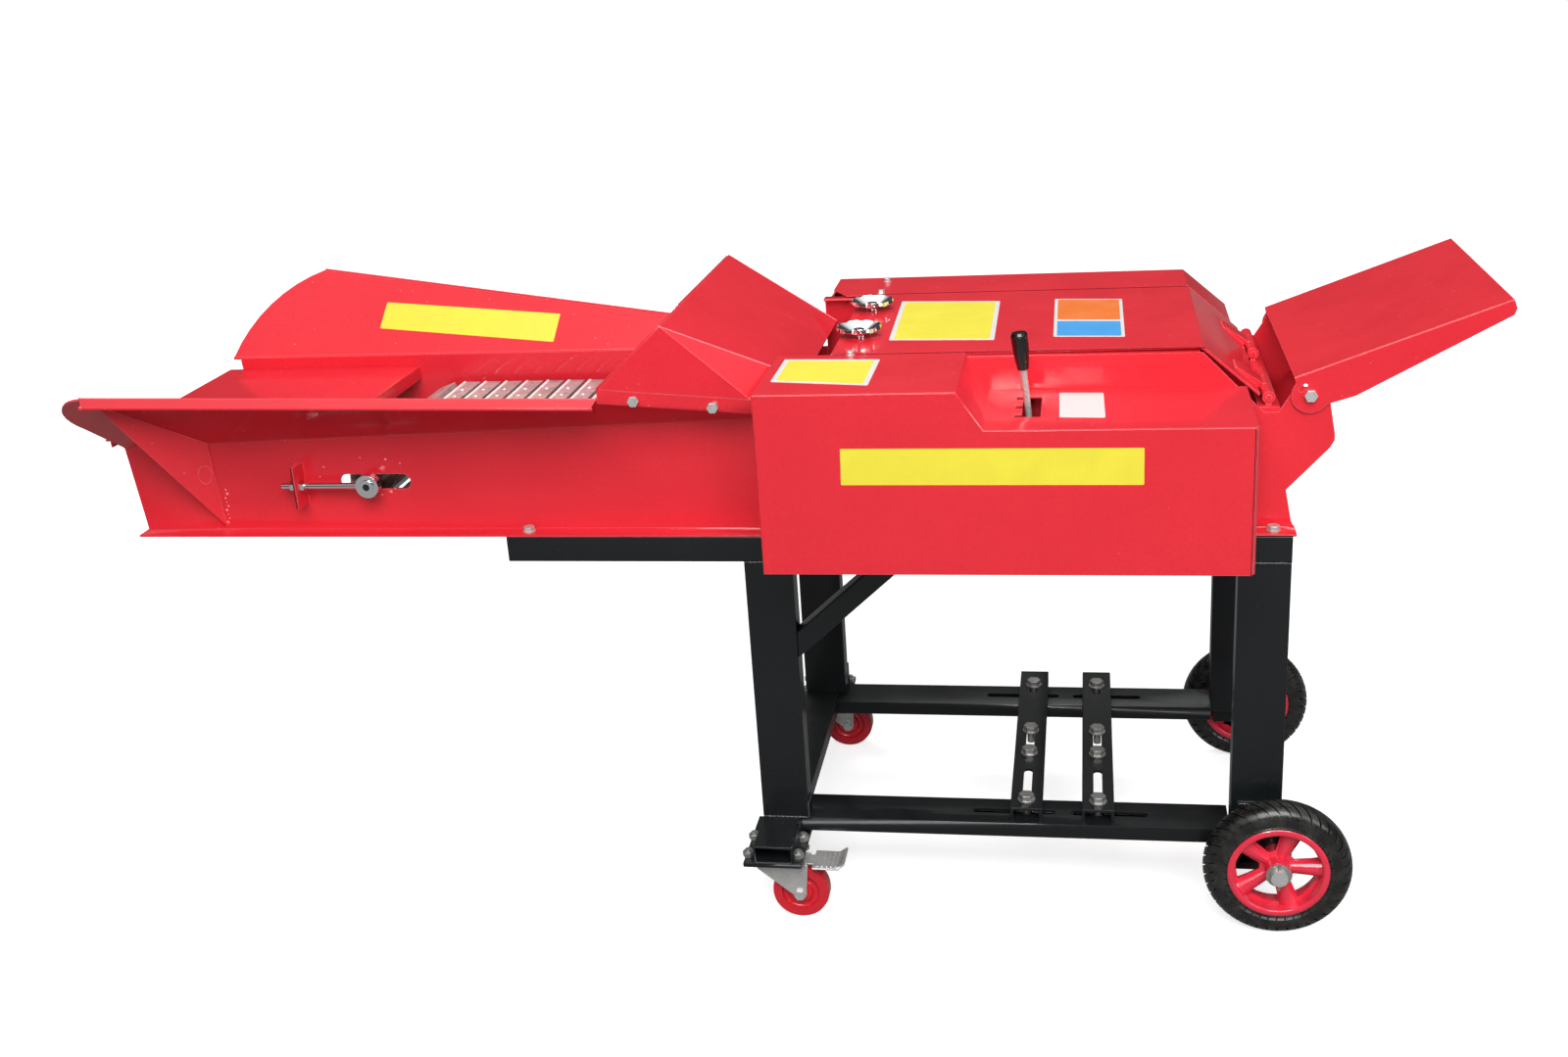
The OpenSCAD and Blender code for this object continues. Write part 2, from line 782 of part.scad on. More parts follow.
module trough_side_near() {
    color(red) in_frame() difference() {
        union() {
            front_view(near_y, near_in) panel_outline(near_fold_l, near_fold_r);
            bottom_flange(-trough_l + 33, body_x);
            tension_bracket();
            near_wing();
        }
        hood_bolt_holes();
    }
}

module trough_side_far() {
    color(red) in_frame() difference() {
        union() {
            far_side() {
                front_view(near_y, near_in) panel_outline(far_fold, far_fold);
                bottom_flange(-trough_l + 33, body_x);
                tension_bracket();
            }
            far_wing();
        }
        hood_bolt_holes();
    }
}

module trough_floor() {
    end_x = -trough_l + floor_l;
    drop = 19;
    hem = 14;
    edge = floor_z - near_fold_l - 2;
    rise = near_fold_r - near_fold_l;
    meet_x = panel_x0 + (floor_z - sheet_t - 1 - near_fold_l) / rise * (body_x - panel_x0);
    color(red) in_frame() {
        translate([0, 0, floor_z - sheet_t]) linear_extrude(sheet_t) polygon([
            [-trough_l, near_in - edge], [meet_x, near_in], [end_x, near_in],
            [end_x, far_in], [-trough_l, far_in]
        ]);
        translate([end_x - sheet_t, near_in, floor_z - drop]) cube([sheet_t, far_in - near_in, drop]);
        translate([-trough_l, near_in, floor_z - hem]) cube([sheet_t, far_in - near_in, hem]);
    }
}

wing_x1 = 22;
lip_x1 = -160;
function near_slant(x) = near_wing_s - (x + 800) * 0.1;
function near_point(x, s) =
    [x, near_y - s * sin(near_flare), near_fold(x) + s * cos(near_flare)];
function far_slant(x) = far_wing_s - (x + 692) * 0.156;
function far_point(x, s) =
    [x, far_y + s * sin(far_flare), far_fold + s * cos(far_flare)];

module near_wing() {
    corner_r = 45;
    cx = x_min + corner_r;
    cs = near_wing_s - corner_r;
    arc = [for (a = [90 : 12.5 : 215]) [cx + corner_r * cos(a), cs + corner_r * sin(a)]];
    rim = [for (p = arc) near_point(p[0], p[1])];
    r1 = near_point(cx, near_wing_s);
    r2 = near_point(wing_x1, near_slant(wing_x1));
    l2 = near_point(lip_x1, near_slant(lip_x1));
    out = [0, -lip_w, -4];
    g0 = near_point(-695, 0);
    g1 = near_point(-790, near_wing_s - 12);
    sheet(concat([near_point(panel_x0, 0), near_point(wing_x1, 0), r2], rim));
    bead(near_point(panel_x0, 0), near_point(wing_x1, 0), fold_r);
    sheet([r1, l2, l2 + out, r1 + out + [14, 0, 0]]);
    bead(r1, l2, fold_r);
    bead(r1 + out + [14, 0, 0], l2 + out, fold_r);
    for (p = [r1, l2, r1 + out + [14, 0, 0], l2 + out])
        ball(p, fold_r + 0.5);
    sheet([g0 + [0, -1, 0], g1, [-688, near_y - 1, flange_z + 2]]);
}

module far_wing() {
    left = -trough_l + 9;
    top_x = -692;
    arc = arc_points([left, 0], [top_x, far_wing_s], 22);
    sheet(concat(
        [far_point(left, 0)],
        [for (p = arc) far_point(p[0], p[1])],
        [far_point(top_x, far_wing_s), far_point(wing_x1, far_slant(wing_x1)), far_point(wing_x1, 0)]
    ));
    bead(far_point(left, 0), far_point(wing_x1, 0), fold_r);
    bead(far_point(top_x, far_wing_s), far_point(wing_x1, far_slant(wing_x1)), fold_r);
    sheet([far_point(-695, 0) + [0, 1, 0], far_point(-735, 104), [-688, far_y + 1, flange_z + 2]]);
}

// Hood over the feed rollers
hood_mouth = [-hood_x, near_y - hood_out, table_h + hood_h];
hood_rear = [80, 52, table_h + hood_low + 1];
hood_lip_l = [-157, -22, table_h + 194];
hood_lip_r = [26, -9, table_h + 175];
hood_far_l = [-157, stand_d + 8, table_h + 194];
hood_far_r = [26, stand_d - 6, table_h + 175];
hood_band = 17;
hood_bolts = [[-112, table_h + 180], [-17, table_h + 171]];
function across(p) = [p[0], stand_d - p[1], p[2]];

// Everything on the inner side of the plane through three points
module behind(pts, d) {
    e1 = unit(pts[1] - pts[0]);
    n = unit(cross(e1, pts[2] - pts[0]));
    e2 = cross(n, e1);
    o = pts[0];
    size = 900;
    multmatrix([
        [e1[0], e2[0], n[0], o[0]],
        [e1[1], e2[1], n[1], o[1]],
        [e1[2], e2[2], n[2], o[2]],
        [0, 0, 0, 1]
    ])
        translate([-size / 2, -size / 2, -size - d]) cube(size);
}

module hood_form(d) {
    intersection() {
        behind([hood_mouth, hood_rear, across(hood_mouth)], d);
        behind([hood_mouth, hood_lip_l, hood_lip_r], d);
        behind([hood_mouth, hood_lip_r, hood_rear], d);
        behind([across(hood_mouth), hood_far_r, hood_far_l], d);
        behind([across(hood_mouth), across(hood_rear), hood_far_r], d);
    }
}

module hood_outline() {
    mouth_run = (hood_mouth[0] - hood_lip_l[0]) / (hood_mouth[2] - hood_lip_l[2]);
    trim = 2;
    polygon([
        [hood_lip_l[0] + trim, hood_lip_l[2]], [hood_lip_r[0] + trim, hood_lip_r[2]],
        [hood_rear[0], hood_rear[2] - trim], [hood_rear[0], hood_mouth[2] + 20],
        [hood_mouth[0] + trim + 20 * mouth_run, hood_mouth[2] + 20]
    ]);
}

module hood_bolt_holes() {
    for (c = hood_bolts)
        rod_y(c, 4.3, -40, 2 * stand_d, 24);
}

module hood_lip(l, r, side) {
    t = [0, side * sheet_t / 2, 0];
    up = [0, side * 0.7, 2.5];
    down = [0, 0, -hood_band];
    sheet([l + t + up, r + t + up, r + t + down, l + t + down]);
}

module hood() {
    color(red) in_frame() difference() {
        union() {
            difference() {
                intersection() {
                    front_view(-100, stand_d + 100) hood_outline();
                    hood_form(0);
                }
                hood_form(sheet_t);
            }
            hood_lip(hood_lip_l, hood_lip_r, 1);
            hood_lip(hood_far_l, hood_far_r, -1);
        }
        hood_bolt_holes();
        translate([guard_x0 - 0.6, -60, table_h]) cube([80, near_y + 60.3, hood_h]);
    }
}

// Conveyor
module slat_section(lip) {
    translate([-slat_w / 2, 0]) square([slat_w, 2.2]);
    for (x = [-slat_w / 2, slat_w / 2 - 2.2])
        translate([x, -slat_t + 2.2 + 0.05]) square([2.2, slat_t - 2.25 + lip]);
}

module slat_at(x, z, turn, sink = 0) {
    translate([x, far_in - slat_in, z]) rotate([90, 0, 0]) rotate(turn)
        translate([0, chain_or + slat_t - 2.2 - sink])
            linear_extrude(far_in - near_in - 2 * slat_in) slat_section(0);
}

module conveyor_slats() {
    color(zinc) in_frame() {
        for (i = [0 : upper_n - 1]) {
            x = -tail_x + slat_start + i * slat_pitch;
            slat_at(x, conveyor_z, 0);
            slat_at(x, conveyor_z, 180);
        }
        for (a = [20, 85, 150])
            slat_at(-tail_x, conveyor_z, a, turn_sink);
        for (a = [60, 120])
            slat_at(head_x, conveyor_z, -a, turn_sink);
    }
}

module loop_2d(c0, c1, r) {
    d = norm(c1 - c0);
    translate(c0) rotate(bearing_of(c0, c1)) {
        circle(r = r);
        translate([d, 0]) circle(r = r);
        translate([0, -r]) square([d, 2 * r]);
    }
}

module chain_loop(c0, c1, outer, inner, y0, y1) {
    front_view(y0, y1) difference() {
        loop_2d(c0, c1, outer);
        loop_2d(c0, c1, inner);
    }
}

head_c = [head_x, conveyor_z];
tail_c = [-tail_x, conveyor_z];
drive_y = far_in - 13;
drive_chain_or = 26;
drive_chain_ir = 20.5;

module chains() {
    color(steel) in_frame() {
        mirrored()
            chain_loop(tail_c, head_c, chain_or, chain_ir, chain_y - chain_w / 2, chain_y + chain_w / 2);
        chain_loop(head_c, lower_c, drive_chain_or, drive_chain_ir, drive_y, drive_y + 6);
    }
}

module sprocket(c, tip, bore, y0, y1) {
    n = 12;
    front_view(y0, y1) translate(c) difference() {
        circle(r = tip);
        circle(r = bore);
        for (k = [0 : n - 1])
            rotate(360 * k / n) translate([tip + 1, 0]) circle(r = 3.2, $fn = 16);
    }
}

module head_shaft() {
    color(steel) in_frame() {
        rod_y(head_c, conveyor_shaft_d / 2, near_in + seat_gap, far_in - seat_gap);
        mirrored() sprocket(head_c, chain_ir - 0.5, conveyor_shaft_d / 2, chain_y - 3, chain_y + 3);
        sprocket(head_c, drive_chain_ir - 0.5, conveyor_shaft_d / 2, drive_y + 0.5, drive_y + 5.5);
    }
}

eye_r = 11;
tension_y = 12;

module tail_shaft() {
    color(zinc) in_frame() mirrored() {
        rod_y(tail_c, conveyor_shaft_d / 2 - 1, tension_y - 8, mid_y + 1);
        difference() {
            union() {
                translate([-tail_x, tension_y, conveyor_z]) rotate([90, 0, 0])
                    translate([0, 0, -6]) cylinder(r = eye_r + 4, h = 12);
                translate([-tail_x - 116, tension_y, conveyor_z]) rotate([0, 90, 0])
                    cylinder(r = 4, h = 104);
            }
            rod_y(tail_c, conveyor_shaft_d / 2 - 1, -20, near_y);
        }
        for (x = [-tail_x - 92, -tail_x - 104])
            translate([x, tension_y, conveyor_z]) rotate([0, 90, 0]) difference() {
                cylinder(d = 15, h = 6.8, $fn = 6);
                cylinder(r = 4, h = 14);
            }
    }
}

module tail_idlers() {
    color(steel) in_frame() mirrored()
        ring_y(tail_c, chain_ir - 0.5, conveyor_shaft_d / 2 - 1 + run_gap, chain_y - 3, chain_y + 3);
}

// Cutter housing
chute_stop_c = chute_c + 12.5 * [cos(113), sin(113)];
housing_end = stand_l + 4;

module side_outline() {
    difference() {
        union() {
            polygon([
                [body_x, table_h], [housing_end, table_h], [646, table_h + 9], [639, table_h + 47],
                [685, table_h + 97], [690, table_h + 106], [690, table_h + 114], [684, table_h + 148],
                [chute_c[0] + 15, chute_c[1] + 14], [chute_c[0] - 18, chute_c[1] + 9], [640, table_h + 162],
                [hinge_x + 10, hinge_z - 14], [hinge_x - 6, hinge_z - 14],
                [cover_bend_x, body_z], [body_x, body_z]
            ]);
            translate(chute_c) circle(r = 20);
        }
        translate(rotor_c) circle(d = rotor_shaft_d + 4);
        translate(lower_c) circle(d = roller_shaft_d + 4);
        translate(upper_c) circle(d = roller_shaft_d + 4);
        translate(upper_c + [0, roller_lift]) circle(d = roller_shaft_d + 4);
        translate(upper_c - [roller_shaft_d / 2 + 2, 0]) square([roller_shaft_d + 4, roller_lift]);
        translate(chute_c) circle(d = 8.4);
        translate(chute_stop_c) circle(d = 6.4);
    }
}

top_flange_w = 17;

module side_plates() {
    color(red) in_frame() mirrored() {
        front_view(near_y, near_in) side_outline();
        bottom_flange(body_x, housing_end);
        difference() {
            translate([body_x, near_y, body_z - sheet_t])
                cube([cover_bend_x - body_x - 3, top_flange_w, sheet_t]);
            translate([guard_bolt_x, guard_bolt_y, body_z - sheet_t - 1])
                cylinder(d = 6.6, h = sheet_t + 2);
        }
    }
}

pan_r = knife_r + 7;
pan_end = 50;
pan_w = far_in - near_in;

module housing_pan() {
    px = rotor_c[0] + (pan_r + sheet_t / 2) * cos(pan_end);
    pz = rotor_c[1] - (pan_r + sheet_t / 2) * sin(pan_end);
    color(red) in_frame() {
        translate([rotor_c[0], far_in, rotor_c[1]]) rotate([90, 0, 0]) rotate(189)
            rotate_extrude(angle = 180 - 9 - pan_end, $fn = 120)
                translate([pan_r, 0]) square([sheet_t, pan_w]);
        front_view(near_in, far_in) {
            polygon([
                [px, pz - sheet_t / 2 - 0.4], [637, table_h + 46], [683, table_h + 96],
                [681, table_h + 98.5], [635, table_h + 49], [px - 0.5, pz + sheet_t / 2 + 0.4]
            ]);
        }
    }
}

bed_edge_x = rotor_c[0] - knife_r - 0.7;

module bed_knife() {
    color(steel) in_frame() {
        front_view(near_in, far_in) polygon([
            [bed_edge_x - 16, rotor_c[1] - 9], [bed_edge_x - 2.5, rotor_c[1] - 9],
            [bed_edge_x, rotor_c[1]], [bed_edge_x - 16, rotor_c[1]]
        ]);
        front_view(near_in, far_in) polygon([
            [bed_edge_x - 16, rotor_c[1] + 3], [bed_edge_x - 16, rotor_c[1] - 24],
            [bed_edge_x - 19, rotor_c[1] - 24], [bed_edge_x - 19, rotor_c[1]],
            [lower_c[0] + 28, rotor_c[1]], [lower_c[0] + 31, rotor_c[1] + 3]
        ]);
    }
}

hinge_y = [31 + 7, 232];
hinge_l = 104;
knuckle_l = hinge_l / 3;
beam_x0 = 125;
beam_w = 28;
beam_h = 12;

module at_hinges() {
    for (y = hinge_y)
        translate([0, y, 0]) children();
}

module cross_bars() {
    bar_z1 = hinge_z - knuckle_r - 1.5;
    color(red) in_frame() {
        difference() {
            translate([beam_x0, near_in, body_z - sheet_t - beam_h])
                cube([beam_w, far_in - near_in, beam_h]);
            for (side = [-1, 1])
                translate([nut_x, mid_y + side * nut_off, body_z - 30]) cylinder(r = 7, h = 30);
            mirrored() translate([guard_bolt_x, guard_bolt_y, body_z - 30]) cylinder(d = 6.6, h = 30);
        }
        translate([hinge_x - 12, near_in, bar_z1 - 12]) cube([24, far_in - near_in, 12]);
        at_hinges() {
            for (k = [0, 2]) {
                rod_y([hinge_x, hinge_z], knuckle_r, k * knuckle_l + 0.3, (k + 1) * knuckle_l - 0.3);
                translate([hinge_x - 3, k * knuckle_l + 0.3, bar_z1 - 0.5])
                    cube([6, knuckle_l - 0.6, 4.5]);
            }
            rod_y([hinge_x, hinge_z], hinge_pin_r, -2, hinge_l + 2);
        }
    }
}

module cover() {
    bend = [cover_bend_x, cover_z];
    end = [hinge_x - 10, hinge_z + 3];
    color(red) in_frame() {
        difference() {
            sheet([
                [cover_x, cover_near, bend[1]], [bend[0], cover_near, bend[1]],
                [bend[0], cover_far, bend[1]], [cover_x, cover_far, bend[1]]
            ]);
            for (side = [-1, 1])
                translate([nut_x, mid_y + side * nut_off, body_z]) cylinder(r = 5.08, h = 10);
        }
        sheet([
            [bend[0], cover_near, bend[1]], [end[0], cover_near, end[1]],
            [end[0], cover_far, end[1]], [bend[0], cover_far, bend[1]]
        ]);
        bead([bend[0], cover_near, bend[1]], [bend[0], cover_far, bend[1]], fold_r);
        at_hinges() difference() {
            union() {
                rod_y([hinge_x, hinge_z], knuckle_r, knuckle_l + 0.3, 2 * knuckle_l - 0.3);
                front_view(knuckle_l + 0.3, 2 * knuckle_l - 0.3) polygon([
                    [hinge_x - 2, hinge_z + knuckle_r - 0.6], [hinge_x - 34, hinge_z + 28],
                    [hinge_x - 36, hinge_z + 25], [hinge_x - 5, hinge_z]
                ]);
            }
            rod_y([hinge_x, hinge_z], hinge_pin_r + run_gap, knuckle_l - 1, 2 * knuckle_l + 1);
        }
    }
}

// Dished hand nut with its screw
nut_r = 28;

module hand_nut(side) {
    color(zinc) in_frame() translate([nut_x, mid_y + side * nut_off, cover_z + sheet_t / 2 + seat_gap]) {
        difference() {
            rotate_extrude($fn = 72) polygon([
                [0, 0], [10, 0], [10, 3], [14, 3], [nut_r - 3, 7], [nut_r, 9.5], [nut_r - 1, 13],
                [nut_r - 4, 12], [13, 6], [8, 6], [7, 9], [0, 9]
            ]);
            for (k = [0 : 7])
                rotate(45 * k) translate([nut_r + 5, 0, 5]) cylinder(r = 8, h = 20);
        }
        translate([0, 0, -sheet_t - 12]) cylinder(r = 5, h = sheet_t + 14);
    }
}

module hand_nut_near() { hand_nut(-1); }
module hand_nut_far() { hand_nut(1); }

// Guards
guard_z0 = table_h + 4;
guard_top = body_z + cover_gap + guard_t;
guard_low = table_h + guard_low_up;
guard_slope = 29;
guard_bolt_x = 140;
guard_bolt_y = near_y + 6.6;
gate_w = 11;

module near_guard_outline(t) {
    polygon([
        [guard_x0 + t, guard_z0 - (t > 0 ? 1 : 0)], [guard_x0 + t, guard_top - t],
        [guard_step_x - 0.4 * t, guard_top - t], [guard_step_x + guard_slope - 0.4 * t, guard_low - t],
        [guard_x1 - t, guard_low - t], [guard_x1 - t, guard_z0 - (t > 0 ? 1 : 0)]
    ]);
}

module near_guard() {
    front = -near_guard_out;
    bar_x0 = lever_x - 12.5;
    span = (guard_low - lever_z) * tan(shift_deg) + 5.5;
    color(red) in_frame() difference() {
        union() {
            front_view(front, near_y - seat_gap) near_guard_outline(0);
            translate([guard_x0, near_y - 1, guard_top - guard_t])
                cube([guard_step_x - guard_x0, guard_lap + 1, guard_t]);
        }
        front_view(front + guard_t, near_y + 1) near_guard_outline(guard_t);
        translate([guard_x1 - 8, front - 5, guard_z0 - 1]) rotate([0, 0, 55])
            mirror([0, 1, 0]) cube([20, 20, guard_low - guard_z0 + 2]);
        translate([bar_x0, lever_y - span, guard_low - 10]) cube([20.5, 2 * span, 20]);
        for (k = [-1, 0, 1])
            translate([bar_x0 - 8, lever_y + k * (span - gate_w / 2) - gate_w / 2, guard_low - 10])
                cube([9, gate_w, 20]);
        translate([guard_bolt_x, guard_bolt_y, guard_top - 5]) cylinder(d = 6.6, h = 10);
    }
}

far_guard_x0 = 70;
far_guard_x1 = 600;

module far_guard() {
    back = stand_d + far_guard_out;
    color(red) in_frame() difference() {
        union() {
            front_view(far_y + seat_gap, back) far_guard_outline(0);
            translate([far_guard_x0, far_y - guard_lap, guard_top - guard_t])
                cube([cover_bend_x - far_guard_x0, guard_lap + 1, guard_t]);
        }
        front_view(far_y - 1, back - guard_t) far_guard_outline(guard_t);
        translate([far_guard_x0 - 1, far_y - guard_lap - 1, guard_top - guard_t - 1])
            linear_extrude(guard_t + 2) polygon([[0, 0], [24, 0], [0, 44]]);
        translate([guard_bolt_x, stand_d - guard_bolt_y, guard_top - 5]) cylinder(d = 6.6, h = 10);
        translate([guard_bolt_x, stand_d + 42, guard_top - 5]) cylinder(d = 6.6, h = 10);
    }
}

module far_guard_outline(t) {
    drop = t > 0 ? 1 : 0;
    polygon([
        [far_guard_x0 + t, guard_z0 - drop], [far_guard_x0 + t, guard_top - t],
        [cover_bend_x - 0.4 * t, guard_top - t], [far_guard_x1 - t, guard_top - 50],
        [far_guard_x1 - t, guard_z0 - drop]
    ]);
}

// Chute cap
module chute_side() {
    l = chute_l - 8;
    difference() {
        union() {
            polygon([
                [-10, chute_rise], [-12, 0], [0, -16], [45, -18.5],
                [l - 5, 9], [l, chute_nose], [l, chute_rise]
            ]);
            circle(r = 21);
        }
        circle(d = 8.4);
        for (a = [98 : 5 : 128])
            rotate(a) translate([12.5, 0]) circle(d = 5);
    }
}

module deflector() {
    y0 = near_y - chute_side_gap - sheet_t;
    l = chute_l - 8;
    color(red) in_frame() translate([chute_c[0], 0, chute_c[1]]) rotate([0, -chute_deg, 0]) {
        mirrored() front_view(y0, y0 + sheet_t) chute_side();
        translate([-10, y0, chute_rise - sheet_t]) cube([l + 10, stand_d - 2 * y0, sheet_t]);
    }
}

module flange_bolt() {
    translate([0, 0, table_h - 12]) cylinder(d = flange_bolt_d, h = sheet_t + 14);
    translate([0, 0, flange_z]) cylinder(r = 8, h = 1.5);
    hex_head(0, 0, flange_z + 1.5, 13, 5);
}

module guard_bolt(x, y, z_end) {
    translate([x, y, z_end]) cylinder(d = 6, h = guard_top + 2 - z_end);
    translate([x, y, guard_top]) cylinder(r = 5.2, h = 1.2);
    hex_head(x, y, guard_top + 1.2, 8, 4.5);
}

module body_fasteners() {
    color(zinc) in_frame() {
        mirrored() {
            at_flange_bolts() flange_bolt();
            guard_bolt(guard_bolt_x, guard_bolt_y, body_z - sheet_t - beam_h - 6);
            rod_y(chute_c, 4, near_y - 8, near_in + 8);
            rod_y(chute_c, 7.5, near_y - 9.5, near_y - chute_side_gap - sheet_t - 0.2, 6);
        }
        guard_bolt(guard_bolt_x, stand_d + 42, guard_top - guard_t - 6);
        for (c = hood_bolts) {
            rod_y(c, 4, -26, -4, 24);
            rod_y(c, 7, -28, -23.4, 6);
            rod_y(c, 4, far_y + 12, stand_d + 14, 24);
            rod_y(c, 7, stand_d + 10.5, stand_d + 15, 6);
        }
    }
}

// Cutter
disc_y = [near_in + 14, mid_y - 4, far_in - 22];
disc_t = 8;
disc_r = knife_r - 26;
knife_t = 6;
knife_in = knife_r - 42;

module at_knives() {
    translate([rotor_c[0], 0, rotor_c[1]])
        for (k = [0 : knife_n - 1])
            rotate([0, 360 / knife_n * k + 12, 0]) children();
}

module knife(grow) {
    translate([knife_in - grow, near_in + 6 - grow, -knife_t / 2 - grow])
        cube([knife_r - 0.4 - knife_in + grow, far_in - near_in - 12 + 2 * grow, knife_t + 2 * grow]);
}

module rotor_shaft() {
    end_y = stand_d + far_guard_out - guard_t - 8;
    color(steel) in_frame() {
        rod_y(rotor_c, rotor_shaft_d / 2, forward_y - gear_w - 3, end_y);
        for (y = [reverse_y, forward_y])
            gear(rotor_c, pinion_n, rotor_phase, y, gear_w, rotor_shaft_d / 2);
    }
}

module rotor_discs() {
    color(steel) in_frame() difference() {
        for (y = disc_y) {
            ring_y(rotor_c, disc_r, rotor_shaft_d / 2, y, y + disc_t);
            ring_y(rotor_c, 26, rotor_shaft_d / 2, y - 4, y + disc_t + 4);
        }
        at_knives() knife(0);
    }
}

module knife_blades() {
    color(zinc) in_frame() at_knives() difference() {
        knife(0);
        translate([knife_r - 10, near_in, knife_t / 2]) rotate([0, 28, 0]) cube([40, far_in - near_in, 20]);
    }
}

pulley_r = 74;
pulley_y = stand_d + 10;
pulley_w = 46;

module drive_pulley() {
    color(black) in_frame() translate([rotor_c[0], pulley_y, rotor_c[1]]) rotate([-90, 0, 0])
        rotate_extrude($fn = 96) difference() {
            union() {
                translate([rotor_shaft_d / 2, 0]) square([14, pulley_w]);
                translate([rotor_shaft_d / 2, pulley_w / 2 - 4])
                    square([pulley_r - 22 - rotor_shaft_d / 2, 8]);
                translate([pulley_r - 24, 0]) square([24, pulley_w]);
            }
            for (y = [13, pulley_w - 13])
                polygon([
                    [pulley_r + 1, y - 8], [pulley_r + 1, y + 8],
                    [pulley_r - 14, y + 4], [pulley_r - 14, y - 4]
                ]);
        }
}

// Bearings, brackets and the guides of the upper roller
lay_shaft_d = 24;
block_w = 50;
block_h = 44;
block_t = 16;
guide_t = 6;
guide_top = upper_c[1] + block_h / 2 + 36;

module roller_guide() {
    x0 = upper_c[0] - block_w / 2;
    z0 = upper_c[1] - block_h / 2 - 4;
    y0 = near_y - block_t - 2;
    for (x = [x0 - guide_t - seat_gap, x0 + block_w + seat_gap])
        translate([x, y0, z0]) cube([guide_t, near_y - y0, guide_top + 5 - z0]);
    translate([x0 - guide_t - seat_gap, y0, guide_top])
        cube([block_w + 2 * guide_t + 2 * seat_gap, near_y - y0, 5]);
    translate([x0 - guide_t - seat_gap, y0, z0 - 4])
        cube([block_w + 2 * guide_t + 2 * seat_gap, near_y - y0, 4 - 0.05]);
}

module lever_bracket() {
    translate([lever_x + 12, lever_y - 12, lever_z - 14]) cube([6, near_y - lever_y + 12, 28]);
    translate([lever_x - 8, lever_y, lever_z]) rotate([0, 90, 0]) cylinder(r = 4, h = 21);
    translate([lever_x - 9, near_y - 26, shift_rod_z - 12]) difference() {
        cube([20, 26, 24]);
        translate([10, -1, 12]) rotate([-90, 0, 0]) cylinder(r = 5 + run_gap, h = 28);
    }
}

module bearing_housings() {
    color(black) in_frame() {
        ring_y(rotor_c, 40, rotor_shaft_d / 2 + run_gap, 2, near_y);
        ring_y(rotor_c, 40, rotor_shaft_d / 2 + run_gap, far_y, stand_d - 4);
        mirrored() ring_y(lower_c, 24, roller_shaft_d / 2 + run_gap, 3, near_y);
        mirrored() ring_y(head_c, 17, conveyor_shaft_d / 2 + run_gap, near_in, near_in + 6);
        mirrored() roller_guide();
        ring_y(lay_c, 21, lay_shaft_d / 2 + run_gap, roller_gear_y + 3, near_y);
        rod_y(idler_c, 8, reverse_y - gear_w - 4, near_y);
        rod_y(idler_c, 16, reverse_y + 6, near_y);
        lever_bracket();
    }
}

// Feed rollers
roller_end = 8;

module feed_roller(c, d, ribs) {
    y0 = near_in + roller_end;
    y1 = far_in - roller_end - 8;
    rod_y(c, roller_shaft_d / 2, y0 + 1, y1 - 1);
    front_view(y0, y1) translate(c) {
        circle(r = d / 2 - 8);
        for (k = [0 : ribs - 1])
            rotate(360 / ribs * k) translate([0, -3]) square([d / 2 - 0.5, 6]);
    }
}

module lower_roller() {
    color(steel) in_frame() {
        feed_roller(lower_c, lower_roller_d, 10);
        rod_y(lower_c, roller_shaft_d / 2, roller_gear_y - gear_w - 6, far_y + 20);
    }
}

module lower_roller_gears() {
    color(steel) in_frame() {
        gear(lower_c, roller_n, roller_phase, roller_gear_y, gear_w, roller_shaft_d / 2);
        front_view(feed_gear_y - 18, feed_gear_y) translate(lower_c) difference() {
            gear_2d(feed_n, feed_m, roller_phase, 2.2, 0.95, 1.15);
            circle(d = roller_shaft_d);
        }
        sprocket(lower_c, drive_chain_ir - 0.5, roller_shaft_d / 2, drive_y + 0.5, drive_y + 5.5);
    }
}

module upper_roller() {
    color(steel) in_frame() {
        feed_roller(upper_c, upper_roller_d, 12);
        rod_y(upper_c, roller_shaft_d / 2, feed_gear_y - 22, far_y + 20);
    }
}

module upper_roller_gear() {
    color(steel) in_frame() front_view(feed_gear_y - 18, feed_gear_y) translate(upper_c) difference() {
        gear_2d(feed_n, feed_m, feed_phase, 2.2, 0.95, 1.15);
        circle(d = roller_shaft_d);
    }
}

module roller_blocks() {
    color(steel) in_frame() mirrored()
        front_view(near_y - block_t, near_y - seat_gap) translate(upper_c) difference() {
        translate([-block_w / 2, -block_h / 2]) square([block_w, block_h]);
        circle(r = roller_shaft_d / 2 + run_gap);
    }
}

// Coil springs above the sliding blocks, one unbroken wire each
spring_r = 8;
wire_r = 1.4;
spring_turns = 5;
spring_rings = 8;
spring_sides = 6;

module spring(h) {
    n = spring_turns * spring_rings;
    rise = (h - 2 * wire_r) / n;
    pts = [
        for (i = [0 : n], k = [0 : spring_sides - 1])
            let (a = 360 * i / spring_rings, b = 360 * k / spring_sides)
            [(spring_r + wire_r * cos(b)) * cos(a), (spring_r + wire_r * cos(b)) * sin(a),
                wire_r + rise * i + wire_r * sin(b)]
    ];
    s = spring_sides;
    sides = [
        for (i = [0 : n - 1], k = [0 : s - 1], half = [0, 1])
            let (a = i * s + k, b = i * s + (k + 1) % s)
            half == 0 ? [a, a + s, b] : [b, a + s, b + s]
    ];
    ends = [
        for (k = [1 : s - 2], e = [0, 1])
            e == 0 ? [0, k, k + 1] : [n * s, n * s + k + 1, n * s + k]
    ];
    polyhedron(points = pts, faces = concat(sides, ends));
}

